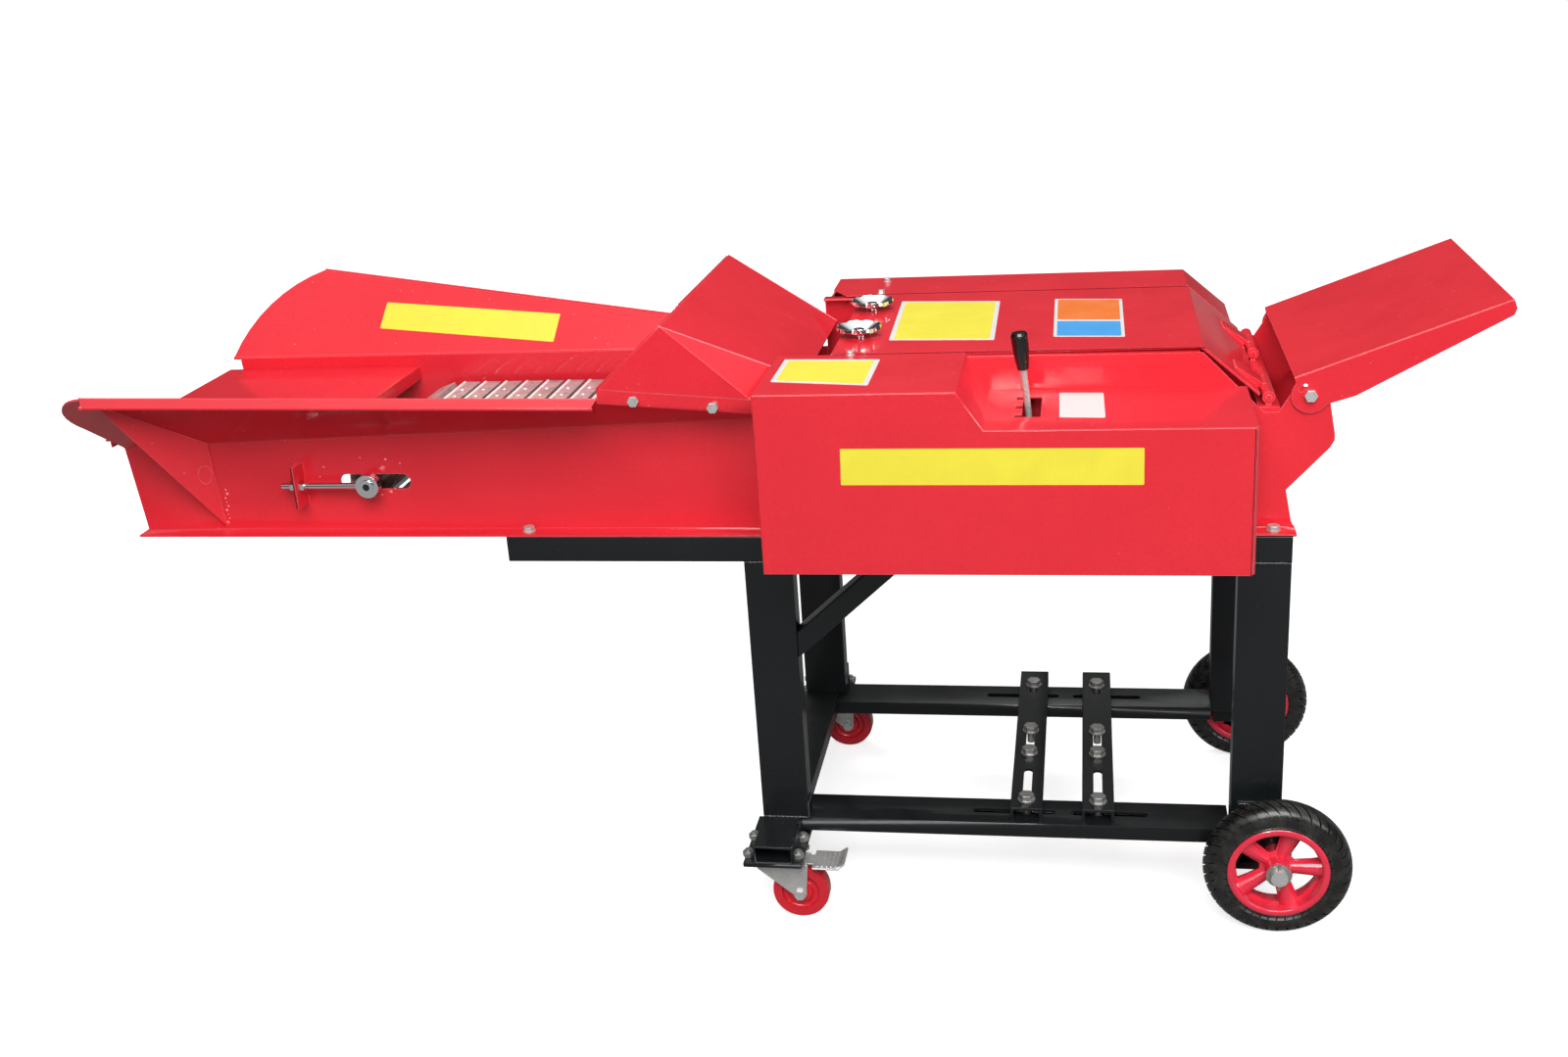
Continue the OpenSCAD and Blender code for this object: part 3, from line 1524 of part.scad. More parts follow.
module pressure_springs() {
    z0 = upper_c[1] + block_h / 2 + 0.1;
    color(zinc) in_frame() mirrored()
        translate([upper_c[0], near_y - block_t / 2 - 1, z0]) spring(guide_top - z0 - 0.1);
}

// Lay shaft and friction clutch
sleeve_w = 14;
sleeve_r = 30;
groove_r = 24;
groove_w = 6.5;
clutch_in = 15;
clutch_out = 22;
clutch_h = 4;
clutch_travel = 10.2;
clutch_gap = 0.15;

module lay_shaft() {
    color(steel) in_frame() {
        rod_y(lay_c, lay_shaft_d / 2, forward_y - gear_w - 5, near_y - 1);
        gear(lay_c, lay_n, lay_phase, roller_gear_y, gear_w, lay_shaft_d / 2);
    }
}

// A gear with the round recess that the sleeve's friction ring presses into
// side is the way the sleeve moves to reach it
module clutch_gear(n, phase, y0, side) {
    face = side < 0 ? y0 : y0 - gear_w;
    reach = sleeve_y + side * (sleeve_w / 2 + clutch_h + clutch_travel + clutch_gap);
    difference() {
        gear(lay_c, n, phase, y0, gear_w, lay_shaft_d / 2 + run_gap);
        ring_y(lay_c, clutch_out + 1, clutch_in - 1, min(reach, face - 1), max(reach, face + 1));
    }
}

module forward_gear() { color(steel) in_frame() clutch_gear(forward_n, forward_phase, forward_y, -1); }
module reverse_gear() { color(steel) in_frame() clutch_gear(reverse_n, reverse_phase, reverse_y, 1); }

module idler_gear() {
    color(steel) in_frame() gear(idler_c, idler_n, idler_phase, reverse_y, gear_w, 8 + run_gap);
}

module clutch_sleeve() {
    y0 = sleeve_y - sleeve_w / 2;
    y1 = sleeve_y + sleeve_w / 2;
    color(steel) in_frame() {
        ring_y(lay_c, sleeve_r, lay_shaft_d / 2 + run_gap, y0, sleeve_y - groove_w / 2);
        ring_y(lay_c, groove_r, lay_shaft_d / 2 + run_gap,
            sleeve_y - groove_w / 2 - 0.5, sleeve_y + groove_w / 2 + 0.5);
        ring_y(lay_c, sleeve_r, lay_shaft_d / 2 + run_gap, sleeve_y + groove_w / 2, y1);
        ring_y(lay_c, clutch_out, clutch_in, y0 - clutch_h, y0 + 0.5);
        ring_y(lay_c, clutch_out, clutch_in, y1 - 0.5, y1 + clutch_h);
    }
}

fork_t2 = 6;
rod_c = [lever_x + 1, shift_rod_z];
rod_r = 5;

module shift_fork() {
    fork_c = lay_c;
    color(steel) in_frame() {
        rod_y(rod_c, rod_r, sleeve_y - 12, near_y - 11);
        front_view(sleeve_y - fork_t2 / 2, sleeve_y + fork_t2 / 2) difference() {
            union() {
                polygon([
                    rod_c + [-9, -10], rod_c + [9, -10], rod_c + [9, 6], rod_c + [-20, 4],
                    fork_c + [34, -38], fork_c + [30, -12], fork_c + [36, 0], fork_c + [-36, 0],
                    fork_c + [-30, -22], fork_c + [-10, -46], fork_c + [20, -50]
                ]);
            }
            translate(fork_c) circle(r = groove_r + 0.4);
            translate(fork_c + [-groove_r - 0.4, 0]) square([2 * groove_r + 0.8, 40]);
        }
        translate([rod_c[0] - 9, lever_y - 9, rod_c[1] - 6]) difference() {
            cube([18, 18, 24]);
            translate([-1, 9 - 5.4, 9]) cube([20, 10.8, 20]);
        }
    }
}

module pivot_block() {
    z = lever_z;
    color(steel) in_frame() {
        difference() {
            translate([lever_x - 8, lever_y - 8, z - 8]) cube([17, 16, gate_up + 16]);
            translate([lever_x - 10, lever_y, z]) rotate([0, 90, 0]) cylinder(r = 4 + run_gap, h = 30);
            rod_y([lever_x, z + gate_up], 3 + run_gap, lever_y - 20, lever_y + 20, 24);
        }
        translate([lever_x - 4, lever_y - 2.5, z - fork_drop]) cube([8, 5, fork_drop - 7]);
        translate([lever_x - 5, lever_y, z - fork_drop]) rotate([0, 90, 0]) cylinder(r = 5, h = 10);
    }
}

module at_lever() {
    translate([lever_x, lever_y, lever_z + gate_up]) rotate([0, -lever_lean, 0]) children();
}

grip_l = 45;
grip_up = guard_low - lever_z - gate_up + 42;

module shift_lever() {
    color(zinc) in_frame() {
        at_lever() {
            for (side = [-1, 1])
                translate([-5, side > 0 ? 8.5 : -11.5, -5]) cube([10, 3, 22]);
            translate([-5, -11.5, 15]) cube([10, 23, 5]);
            translate([0, 0, 18]) cylinder(r1 = 3, r2 = 4.2, h = grip_up - 16);
            translate([0, 0, grip_up]) cylinder(r = 3, h = grip_l - 6);
        }
        rod_y([lever_x, lever_z + gate_up], 3, lever_y - 11.5, lever_y + 11.5, 24);
    }
}

module lever_grip() {
    color(black) in_frame() at_lever() translate([0, 0, grip_up + 2]) difference() {
        union() {
            cylinder(r1 = 6.5, r2 = 9, h = 20);
            translate([0, 0, 20]) cylinder(r1 = 9, r2 = 9.6, h = grip_l - 26);
            translate([0, 0, grip_l - 6]) cylinder(r1 = 9.6, r2 = 8, h = 3);
        }
        translate([0, 0, -1]) cylinder(r = 3, h = grip_l - 6);
    }
}

legs();
top_rails();
lower_rails();
foot_channel();
braces();
motor_bars();
stand_fasteners();
caster_plates();
axle();
tyre_near();
rim_near();
tyre_far();
rim_far();
caster_fork_near();
caster_wheel_near();
brake_pedal_near();
caster_fork_far();
caster_wheel_far();
brake_pedal_far();
trough_side_near();
trough_side_far();
trough_floor();
hood();
conveyor_slats();
chains();
head_shaft();
tail_shaft();
tail_idlers();
side_plates();
housing_pan();
bed_knife();
cross_bars();
cover();
hand_nut_near();
hand_nut_far();
near_guard();
far_guard();
deflector();
body_fasteners();
rotor_shaft();
rotor_discs();
knife_blades();
drive_pulley();
bearing_housings();
lower_roller();
lower_roller_gears();
upper_roller();
upper_roller_gear();
roller_blocks();
pressure_springs();
lay_shaft();
forward_gear();
reverse_gear();
idler_gear();
clutch_sleeve();
shift_fork();
pivot_block();
shift_lever();
lever_grip();
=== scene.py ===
import json
import math

import bmesh
import bpy
from mathutils import Matrix, Vector


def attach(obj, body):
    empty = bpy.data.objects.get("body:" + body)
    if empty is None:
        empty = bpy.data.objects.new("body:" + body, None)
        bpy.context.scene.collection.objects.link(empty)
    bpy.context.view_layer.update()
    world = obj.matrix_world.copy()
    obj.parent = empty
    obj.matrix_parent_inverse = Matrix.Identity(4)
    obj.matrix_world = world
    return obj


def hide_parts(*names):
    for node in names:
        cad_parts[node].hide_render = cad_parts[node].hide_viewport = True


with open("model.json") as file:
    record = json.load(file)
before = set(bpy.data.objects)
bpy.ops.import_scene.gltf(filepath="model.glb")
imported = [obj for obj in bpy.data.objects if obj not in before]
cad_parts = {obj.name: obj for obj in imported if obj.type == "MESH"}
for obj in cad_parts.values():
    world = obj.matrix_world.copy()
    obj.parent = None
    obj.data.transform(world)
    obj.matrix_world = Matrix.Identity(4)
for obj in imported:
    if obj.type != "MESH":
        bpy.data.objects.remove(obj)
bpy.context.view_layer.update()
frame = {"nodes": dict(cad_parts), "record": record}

# The part's source measures in millimetres from the near-left leg, and the frame in metres from the machine's middle
MM = 0.001
MIDDLE_X = 13.72415
MIDDLE_Y = 169.0
STAND_D = 392.0


def at(x, y, z):
    """A point of the part's source, in millimetres, as a point of the frame."""
    return Vector(((x - MIDDLE_X) * MM, (y - MIDDLE_Y) * MM, z * MM))


def far(y):
    """The same place on the far side of the stand."""
    return STAND_D - y


# Colours, as they look in plain light
def colour(red, green, blue):
    """Turns a 0 to 255 screen colour into the linear one that shaders take."""
    def linear(c):
        c /= 255
        return c / 12.92 if c <= 0.04045 else ((c + 0.055) / 1.055) ** 2.4
    return (linear(red), linear(green), linear(blue), 1.0)


SHEET_RED = colour(232, 47, 60)
SHEET_RED_DEEP = colour(208, 32, 46)
RED_FLECK = colour(250, 150, 150)
# The red edge colour stands for rubbed paint and for a painted highlight on the bends of the sheet
RED_EDGE_WEAR_AND_HIGHLIGHT = colour(252, 128, 138)
RIM_RED = colour(238, 50, 76)
CASTER_RED = colour(222, 30, 48)
STAND_BLACK = colour(19, 23, 25)
STAND_DUST = colour(70, 70, 68)
RUBBER_BLACK = colour(17, 17, 16)
RUBBER_DUST = colour(120, 118, 112)
ZINC = colour(214, 214, 212)
ZINC_DULL = colour(158, 156, 150)
STEEL_GREY = colour(150, 150, 150)
STEEL_OIL = colour(74, 68, 60)
CHROME_WHITE = colour(232, 233, 235)
IRON_BLACK = colour(50, 51, 53)
GRIP_BLACK = colour(14, 14, 15)
PLATE_YELLOW = colour(238, 224, 66)
PLATE_WHITE = colour(226, 223, 221)
PLATE_ORANGE = colour(236, 122, 48)
PLATE_BLUE = colour(70, 160, 226)
DISC_BLUE = colour(36, 140, 214)


# Shader building
class Bench:
    """A shader tree with short calls for adding nodes and joining them."""

    def __init__(self, tree):
        self.tree = tree

    def add(self, kind, **settings):
        node = self.tree.nodes.new(kind)
        for name, value in settings.items():
            setattr(node, name, value)
        return node

    def join(self, source, socket):
        """Links a socket, or sets a plain value."""
        if isinstance(source, bpy.types.NodeSocket):
            self.tree.links.new(source, socket)
        else:
            socket.default_value = source

    def maths(self, operation, a, b=0.0, clamp=False):
        node = self.add("ShaderNodeMath", operation=operation, use_clamp=clamp)
        self.join(a, node.inputs[0])
        self.join(b, node.inputs[1])
        return node.outputs[0]

    def blend(self, share, a, b):
        """Mixes two colours."""
        node = self.add("ShaderNodeMix", data_type="RGBA")
        self.join(share, node.inputs["Factor"])
        self.join(a, node.inputs["A"])
        self.join(b, node.inputs["B"])
        return node.outputs["Result"]

    def ramp(self, value, low, high, to_low=0.0, to_high=1.0):
        node = self.add("ShaderNodeMapRange", clamp=True)
        self.join(value, node.inputs["Value"])
        for name, number in (("From Min", low), ("From Max", high), ("To Min", to_low), ("To Max", to_high)):
            self.join(number, node.inputs[name])
        return node.outputs["Result"]

    def effect(self, tree, **values):
        """Places one of the effect groups with its own values."""
        node = self.add("ShaderNodeGroup", node_tree=tree)
        for name, value in values.items():
            self.join(value, node.inputs[name.replace("_", " ")])
        return node.outputs[0]


def effect_group(name, inputs, output, build):
    """An effect that several materials use, built once. build gets the bench and the group's own inputs."""
    tree = bpy.data.node_groups.new(name, "ShaderNodeTree")
    for label, value in inputs.items():
        socket = tree.interface.new_socket(name=label, in_out="INPUT", socket_type="NodeSocketFloat")
        socket.default_value = value
    tree.interface.new_socket(name=output, in_out="OUTPUT", socket_type="NodeSocketFloat")
    bench = Bench(tree)
    given = bench.add("NodeGroupInput")
    result = bench.add("NodeGroupOutput")
    bench.join(build(bench, given.outputs), result.inputs[output])
    return tree


def object_place(bench):
    return bench.add("ShaderNodeTexCoord").outputs["Object"]


def noise_at(bench, place, scale, detail=2.0, roughness=0.5):
    node = bench.add("ShaderNodeTexNoise")
    bench.join(place, node.inputs["Vector"])
    bench.join(scale, node.inputs["Scale"])
    bench.join(detail, node.inputs["Detail"])
    bench.join(roughness, node.inputs["Roughness"])
    return node.outputs["Fac"]


def build_orange_peel(bench, given):
    """The fine skin of a sprayed coat, as a height in metres."""
    place = object_place(bench)
    fine = noise_at(bench, place, given["Scale"], 1.0)
    broad = noise_at(bench, place, bench.maths("MULTIPLY", given["Scale"], 0.12), 2.0)
    both = bench.maths("ADD", bench.maths("MULTIPLY", fine, 0.5), bench.maths("MULTIPLY", broad, 1.6))
    return bench.maths("MULTIPLY", both, given["Depth"])


def build_clouding(bench, given):
    """Soft patches, from 0 to 1."""
    place = object_place(bench)
    cloud = noise_at(bench, place, given["Scale"], 4.0, 0.6)
    return bench.ramp(cloud, given["Low"], given["High"])


def build_flecks(bench, given):
    """Small specks scattered over the surface."""
    cells = bench.add("ShaderNodeTexVoronoi")
    bench.join(object_place(bench), cells.inputs["Vector"])
    bench.join(given["Scale"], cells.inputs["Scale"])
    chance = bench.add("ShaderNodeSeparateColor")
    bench.join(cells.outputs["Color"], chance.inputs["Color"])
    chosen = bench.maths("LESS_THAN", chance.outputs["Red"], given["Share"])
    size = bench.maths("MULTIPLY", chance.outputs["Green"], given["Size"])
    inside = bench.maths("LESS_THAN", cells.outputs["Distance"], size)
    return bench.maths("MULTIPLY", chosen, inside)


def build_edge_wear_and_highlight(bench, given):
    """Where the surface turns a corner, broken up by a fine noise."""
    rounded = bench.add("ShaderNodeBevel", samples=4)
    bench.join(given["Radius"], rounded.inputs["Radius"])
    true_normal = bench.add("ShaderNodeNewGeometry").outputs["Normal"]
    facing = bench.add("ShaderNodeVectorMath", operation="DOT_PRODUCT")
    bench.join(rounded.outputs["Normal"], facing.inputs[0])
    bench.join(true_normal, facing.inputs[1])
    turn = bench.maths("SUBTRACT", 1.0, facing.outputs["Value"])
    breakup = noise_at(bench, object_place(bench), given["Breakup"], 3.0, 0.7)
    edge = bench.maths("SUBTRACT", bench.maths("MULTIPLY", turn, 14.0), breakup)
    return bench.maths("MULTIPLY", bench.ramp(edge, 0.0, 0.7), given["Amount"])


def build_settled_dust(bench, given):
    """Dust on what faces up."""
    normal = bench.add("ShaderNodeSeparateXYZ")
    bench.join(bench.add("ShaderNodeNewGeometry").outputs["Normal"], normal.inputs[0])
    up = bench.ramp(normal.outputs["Z"], 0.45, 0.95)
    patches = noise_at(bench, object_place(bench), given["Scale"], 5.0, 0.65)
    lying = bench.maths("MULTIPLY", up, bench.ramp(patches, 0.35, 0.75))
    return bench.maths("MULTIPLY", lying, given["Amount"])


def build_brushing(bench, given):
    """Long fine scratches along one direction, as a height in metres."""
    stretch = bench.add("ShaderNodeMapping")
    bench.join(object_place(bench), stretch.inputs["Vector"])
    stretch.inputs["Scale"].default_value = (1.0, 22.0, 22.0)
    lines = noise_at(bench, stretch.outputs["Vector"], given["Scale"], 3.0, 0.7)
    return bench.maths("MULTIPLY", lines, given["Depth"])


orange_peel = effect_group("orange_peel", {"Scale": 900.0, "Depth": 0.00002}, "Height", build_orange_peel)
clouding = effect_group("clouding", {"Scale": 6.0, "Low": 0.35, "High": 0.65}, "Value", build_clouding)
flecks = effect_group("flecks", {"Scale": 250.0, "Share": 0.1, "Size": 0.3}, "Mask", build_flecks)
edge_wear_and_highlight = effect_group("edge_wear_and_highlight", {"Radius": 0.001, "Breakup": 120.0, "Amount": 1.0}, "Mask", build_edge_wear_and_highlight)
settled_dust = effect_group("settled_dust", {"Scale": 40.0, "Amount": 0.4}, "Mask", build_settled_dust)
brushing = effect_group("brushing", {"Scale": 60.0, "Depth": 0.00001}, "Height", build_brushing)


def new_finish(name):
    """An empty material with its Principled shader, and the bench to build on."""
    material = bpy.data.materials.new(name)
    material.use_nodes = True
    bench = Bench(material.node_tree)
    shader = material.node_tree.nodes["Principled BSDF"]
    return material, bench, shader


def bumped(bench, shader, height, strength=1.0):
    bump = bench.add("ShaderNodeBump")
    bump.inputs["Distance"].default_value = 1.0
    bump.inputs["Strength"].default_value = strength
    bench.join(height, bump.inputs["Height"])
    bench.join(bump.outputs["Normal"], shader.inputs["Normal"])


def sprayed_finish(name, base, deep, fleck, edge, roughness, coat, peel, shine=0.5, dust=0.0, fleck_share=0.05):
    """Sprayed paint on sheet or tube: clouding, specks, edges lightened as rubbed paint and as a painted highlight on
    the bends, and an orange peel skin.
    """
    material, bench, shader = new_finish(name)
    patches = bench.effect(clouding, Scale=5.0, Low=0.3, High=0.7)
    skin = bench.blend(bench.maths("MULTIPLY", patches, 0.5), base, deep)
    mottle = bench.effect(clouding, Scale=240.0, Low=0.3, High=0.7)
    skin = bench.blend(bench.maths("MULTIPLY", mottle, 0.4), skin, deep)
    specks = bench.effect(flecks, Scale=210.0, Share=fleck_share, Size=0.24)
    skin = bench.blend(bench.maths("MULTIPLY", specks, 0.55), skin, fleck)
    # Edges and bends turn towards the edge colour: rubbed paint, and a painted highlight for the light on the bend
    # radius
    rubbed = bench.effect(edge_wear_and_highlight, Radius=0.0014, Breakup=160.0, Amount=0.8)
    skin = bench.blend(rubbed, skin, edge)
    if dust:
        lying = bench.effect(settled_dust, Scale=30.0, Amount=dust)
        skin = bench.blend(lying, skin, STAND_DUST)
    bench.join(skin, shader.inputs["Base Color"])
    wiped = bench.effect(clouding, Scale=14.0, Low=0.35, High=0.7)
    bench.join(bench.ramp(wiped, 0.0, 1.0, roughness - 0.05, roughness + 0.09), shader.inputs["Roughness"])
    shader.inputs["Coat Weight"].default_value = coat
    shader.inputs["Coat Roughness"].default_value = 0.09
    shader.inputs["Specular IOR Level"].default_value = shine
    height = bench.effect(orange_peel, Scale=700.0, Depth=peel)
    bumped(bench, shader, bench.maths("ADD", height, bench.maths("MULTIPLY", specks, 0.00004)))
    return material


def metal_finish(name, base, dull, roughness, grain=0.000012, stain=0.5, metallic=1.0):
    """Plated or machined metal with stains, fine scratches and bright rubbed edges."""
    material, bench, shader = new_finish(name)
    patches = bench.effect(clouding, Scale=38.0, Low=0.35, High=0.75)
    skin = bench.blend(bench.maths("MULTIPLY", patches, stain), base, dull)
    rubbed = bench.effect(edge_wear_and_highlight, Radius=0.0008, Breakup=200.0, Amount=0.5)
    skin = bench.blend(rubbed, skin, CHROME_WHITE)
    bench.join(skin, shader.inputs["Base Color"])
    shader.inputs["Metallic"].default_value = metallic
    fine = bench.effect(clouding, Scale=90.0, Low=0.3, High=0.7)
    bench.join(bench.ramp(fine, 0.0, 1.0, roughness - 0.06, roughness + 0.1), shader.inputs["Roughness"])
    bumped(bench, shader, bench.effect(brushing, Scale=70.0, Depth=grain))
    return material


def rubber_finish(name):
    """Black tyre rubber, dusty in its hollows and paler on rubbed tread edges."""
    material, bench, shader = new_finish(name)
    dusty = bench.effect(clouding, Scale=60.0, Low=0.45, High=0.8)
    skin = bench.blend(bench.maths("MULTIPLY", dusty, 0.16), RUBBER_BLACK, RUBBER_DUST)
    rubbed = bench.effect(edge_wear_and_highlight, Radius=0.0009, Breakup=300.0, Amount=0.22)
    skin = bench.blend(rubbed, skin, RUBBER_DUST)
    grit = bench.effect(flecks, Scale=420.0, Share=0.05, Size=0.3)
    skin = bench.blend(bench.maths("MULTIPLY", grit, 0.4), skin, RUBBER_DUST)
    bench.join(skin, shader.inputs["Base Color"])
    bench.join(bench.ramp(dusty, 0.0, 1.0, 0.27, 0.55), shader.inputs["Roughness"])
    shader.inputs["Coat Weight"].default_value = 0.25
    shader.inputs["Coat Roughness"].default_value = 0.2
    bumped(bench, shader, bench.effect(orange_peel, Scale=1500.0, Depth=0.00003))
    return material


def moulded_finish(name, base, deep, roughness, coat=0.2, depth=0.00001):
    """Moulded plastic with faint flow marks, scuffs and specks."""
    material, bench, shader = new_finish(name)
    flow = bench.effect(clouding, Scale=24.0, Low=0.3, High=0.7)
    skin = bench.blend(bench.maths("MULTIPLY", flow, 0.6), base, deep)
    specks = bench.effect(flecks, Scale=330.0, Share=0.04, Size=0.26)
    skin = bench.blend(bench.maths("MULTIPLY", specks, 0.35), skin, RED_FLECK)
    bench.join(skin, shader.inputs["Base Color"])
    wiped = bench.effect(clouding, Scale=55.0, Low=0.35, High=0.75)
    bench.join(bench.ramp(wiped, 0.0, 1.0, roughness, roughness + 0.12), shader.inputs["Roughness"])
    shader.inputs["Coat Weight"].default_value = coat
    shader.inputs["Coat Roughness"].default_value = 0.08
    bumped(bench, shader, bench.effect(orange_peel, Scale=500.0, Depth=depth))
    return material


def plate_finish(name, base, roughness=0.3):
    """Printed film with a faint grain and rubbed patches."""
    material, bench, shader = new_finish(name)
    patches = bench.effect(clouding, Scale=30.0, Low=0.35, High=0.7)
    soiled = tuple(c * 0.86 for c in base[:3]) + (1.0,)
    bench.join(bench.blend(bench.maths("MULTIPLY", patches, 0.5), base, soiled), shader.inputs["Base Color"])
    bench.join(bench.ramp(patches, 0.0, 1.0, roughness, roughness + 0.15), shader.inputs["Roughness"])
    bumped(bench, shader, bench.effect(orange_peel, Scale=1200.0, Depth=0.000006))
    return material


finishes = {
    "red_paint": sprayed_finish("red_paint", SHEET_RED, SHEET_RED_DEEP, RED_FLECK, RED_EDGE_WEAR_AND_HIGHLIGHT, 0.34, 0.6, 0.00002, shine=0.12),
    "stand_black": sprayed_finish("stand_black", STAND_BLACK, colour(10, 13, 15), STAND_DUST, colour(52, 56, 59),
                                  0.4, 0.25, 0.00006, shine=0.3, dust=0.12, fleck_share=0.06),
    "zinc": metal_finish("zinc", ZINC, ZINC_DULL, 0.28, metallic=0.55),
    "steel": metal_finish("steel", STEEL_GREY, STEEL_OIL, 0.34, stain=0.6),
    "spring_steel": metal_finish("spring_steel", STEEL_GREY, STEEL_OIL, 0.28, stain=0.4),
    "tyre": rubber_finish("tyre"),
    "rim_red": moulded_finish("rim_red", RIM_RED, colour(216, 34, 58), 0.2, 0.7),
    "caster_red": moulded_finish("caster_red", CASTER_RED, colour(200, 24, 40), 0.22, 0.5),
    "chrome": metal_finish("chrome", CHROME_WHITE, ZINC, 0.1, grain=0.000004, stain=0.3),
    "cast": sprayed_finish("cast", IRON_BLACK, colour(30, 30, 31), STAND_DUST, colour(90, 90, 90), 0.55, 0.0, 0.00025),
    "grip": moulded_finish("grip", GRIP_BLACK, colour(8, 8, 9), 0.14, 0.4),
}
old_zinc = metal_finish("old_zinc", colour(176, 175, 172), colour(120, 118, 112), 0.32, metallic=0.7)
slat_zinc = metal_finish("slat_zinc", colour(202, 194, 194), colour(112, 110, 108), 0.3, stain=0.5, metallic=0.45)
plate_yellow = plate_finish("plate_yellow", PLATE_YELLOW)
plate_white = plate_finish("plate_white", PLATE_WHITE)
plate_orange = plate_finish("plate_orange", PLATE_ORANGE)
plate_blue = plate_finish("plate_blue", PLATE_BLUE)
disc_blue = plate_finish("disc_blue", DISC_BLUE)

slot_of = {row["node"]: row["material_slot"] for row in frame["record"]["subparts"]}
body_of = {node: body for body, nodes in frame["record"]["behaviour"]["bodies"].items() for node in nodes}

for node, solid in frame["nodes"].items():
    for material_slot in solid.material_slots:
        material_slot.link = "OBJECT"
        material_slot.material = finishes["zinc" if node == "axle" else slot_of[node]]


# Pieces
def new_piece(name, mesh, body, finish):
    """A new piece on its body, with its finish."""
    piece = bpy.data.objects.new(name, mesh)
    bpy.context.scene.collection.objects.link(piece)
    mesh.materials.clear()
    mesh.materials.append(finish)
    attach(piece, body)
    return piece


def smooth_faces(mesh, angle=35.0):
    for polygon in mesh.polygons:
        polygon.use_smooth = True
    mesh.set_sharp_from_angle(angle=math.radians(angle))


SHARP_CORNER = math.radians(25)
SHARP_FOLD = math.radians(24)
NEARLY_STRAIGHT = math.radians(162)
STRAIGHT = math.radians(179.3)


def calm_corners(bm, widths):
    """Takes the rounding off edges that meet at corners where it would run far along the sheet."""
    for _ in range(12):
        changed = False
        for face in bm.faces:
            for loop in face.loops:
                before, after = loop.link_loop_prev.edge, loop.edge
                first, second = widths.get(before, 0.0), widths.get(after, 0.0)
                if first == second == 0.0:
                    continue
                corner = loop.calc_angle()
                if corner < SHARP_CORNER:
                    low = 0.0
                elif NEARLY_STRAIGHT < corner < STRAIGHT and abs(first - second) > 1e-7:
                    low = min(first, second)
                else:
                    continue
                widths[before] = widths[after] = low
                changed = True
        if not changed:
            return


def soften(node, fold=0.0, rim=0.4, facet=24.0, segments=2):
    """The node's own form with rolled folds and broken edges. fold and rim are the most that each is rounded, in mm."""
    source = frame["nodes"][node].data
    bm = bmesh.new()
    bm.from_mesh(source)
    bmesh.ops.remove_doubles(bm, verts=bm.verts, dist=2e-6)
    bmesh.ops.dissolve_limit(bm, angle_limit=math.radians(0.5), verts=bm.verts, edges=bm.edges)
    bm.verts.index_update()
    bare = bpy.data.meshes.new(node + "_formed")
    bare.from_pydata([v.co[:] for v in bm.verts], [], [[v.index for v in f.verts] for f in bm.faces])
    bm.free()
    bm = bmesh.new()
    bm.from_mesh(bare)
    weight = bm.edges.layers.float.new("bevel_weight_edge")
    widest = max(fold, rim) * MM
    breadth = {f: 2 * f.calc_area() / max(f.calc_perimeter(), 1e-9) for f in bm.faces}
    widths = {}
    corners = []
    for edge in bm.edges:
        edge.smooth = True
        if len(edge.link_faces) != 2 or edge.calc_face_angle(0.0) < math.radians(facet):
            continue
        corners.append(edge)
        narrow = min(breadth[f] for f in edge.link_faces)
        wanted = fold * MM if fold and narrow > 6 * MM else rim * MM
        wanted = min(wanted, 0.22 * narrow, 0.3 * edge.calc_length())
        if wanted > 0.05 * MM:
            widths[edge] = wanted
    calm_corners(bm, widths)
    for edge in corners:
        width = widths.get(edge, 0.0)
        edge[weight] = width / widest
        edge.smooth = width > 0.0
    flat_faces = set()
    for edge in bm.edges:
        if facet > 24 and edge.calc_face_angle(0.0) > SHARP_FOLD and edge not in widths:
            edge.smooth = False
            for face in edge.link_faces:
                flat_faces.add(face)
    for face in bm.faces:
        face.smooth = face not in flat_faces
    bm.to_mesh(bare)
    bm.free()
    piece = new_piece(node + "_formed", bare, body_of[node], finishes[slot_of[node]])
    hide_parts(node)
    bevel = piece.modifiers.new("rounding", "BEVEL")
    bevel.limit_method = "WEIGHT"
    bevel.width = widest
    bevel.segments = segments
    bevel.use_clamp_overlap = False
    bevel.miter_outer = "MITER_SHARP"
    normals = piece.modifiers.new("flat_faces", "WEIGHTED_NORMAL")
    normals.keep_sharp = True
    return piece


sheet_nodes = ["trough_side_near", "trough_side_far", "trough_floor", "side_plates", "housing_pan",
               "cover", "near_guard", "far_guard", "deflector"]
for node in sheet_nodes:
    soften(node, fold=1.8, rim=0.5)
soften("hood", fold=1.8, rim=0.5, facet=60.0)
for node in ["legs", "top_rails", "lower_rails", "foot_channel", "braces", "motor_bars"]:
    soften(node, fold=2.2, rim=0.6)
for node in ["caster_fork_near", "caster_fork_far", "brake_pedal_near", "brake_pedal_far", "caster_plates"]:
    soften(node, fold=1.0, rim=0.5)
for node in ["stand_fasteners", "body_fasteners", "hand_nut_near", "hand_nut_far", "shift_lever",
             "lever_grip", "conveyor_slats", "tail_shaft", "cross_bars"]:
    soften(node, rim=0.6)
for node in ["rim_near", "rim_far", "caster_wheel_near", "caster_wheel_far"]:
    soften(node, rim=1.2, segments=3)
bpy.data.objects["conveyor_slats_formed"].data.materials[0] = slat_zinc
bpy.data.objects["stand_fasteners_formed"].data.materials[0] = old_zinc
bpy.data.objects["tail_shaft_formed"].data.materials[0] = finishes["chrome"]


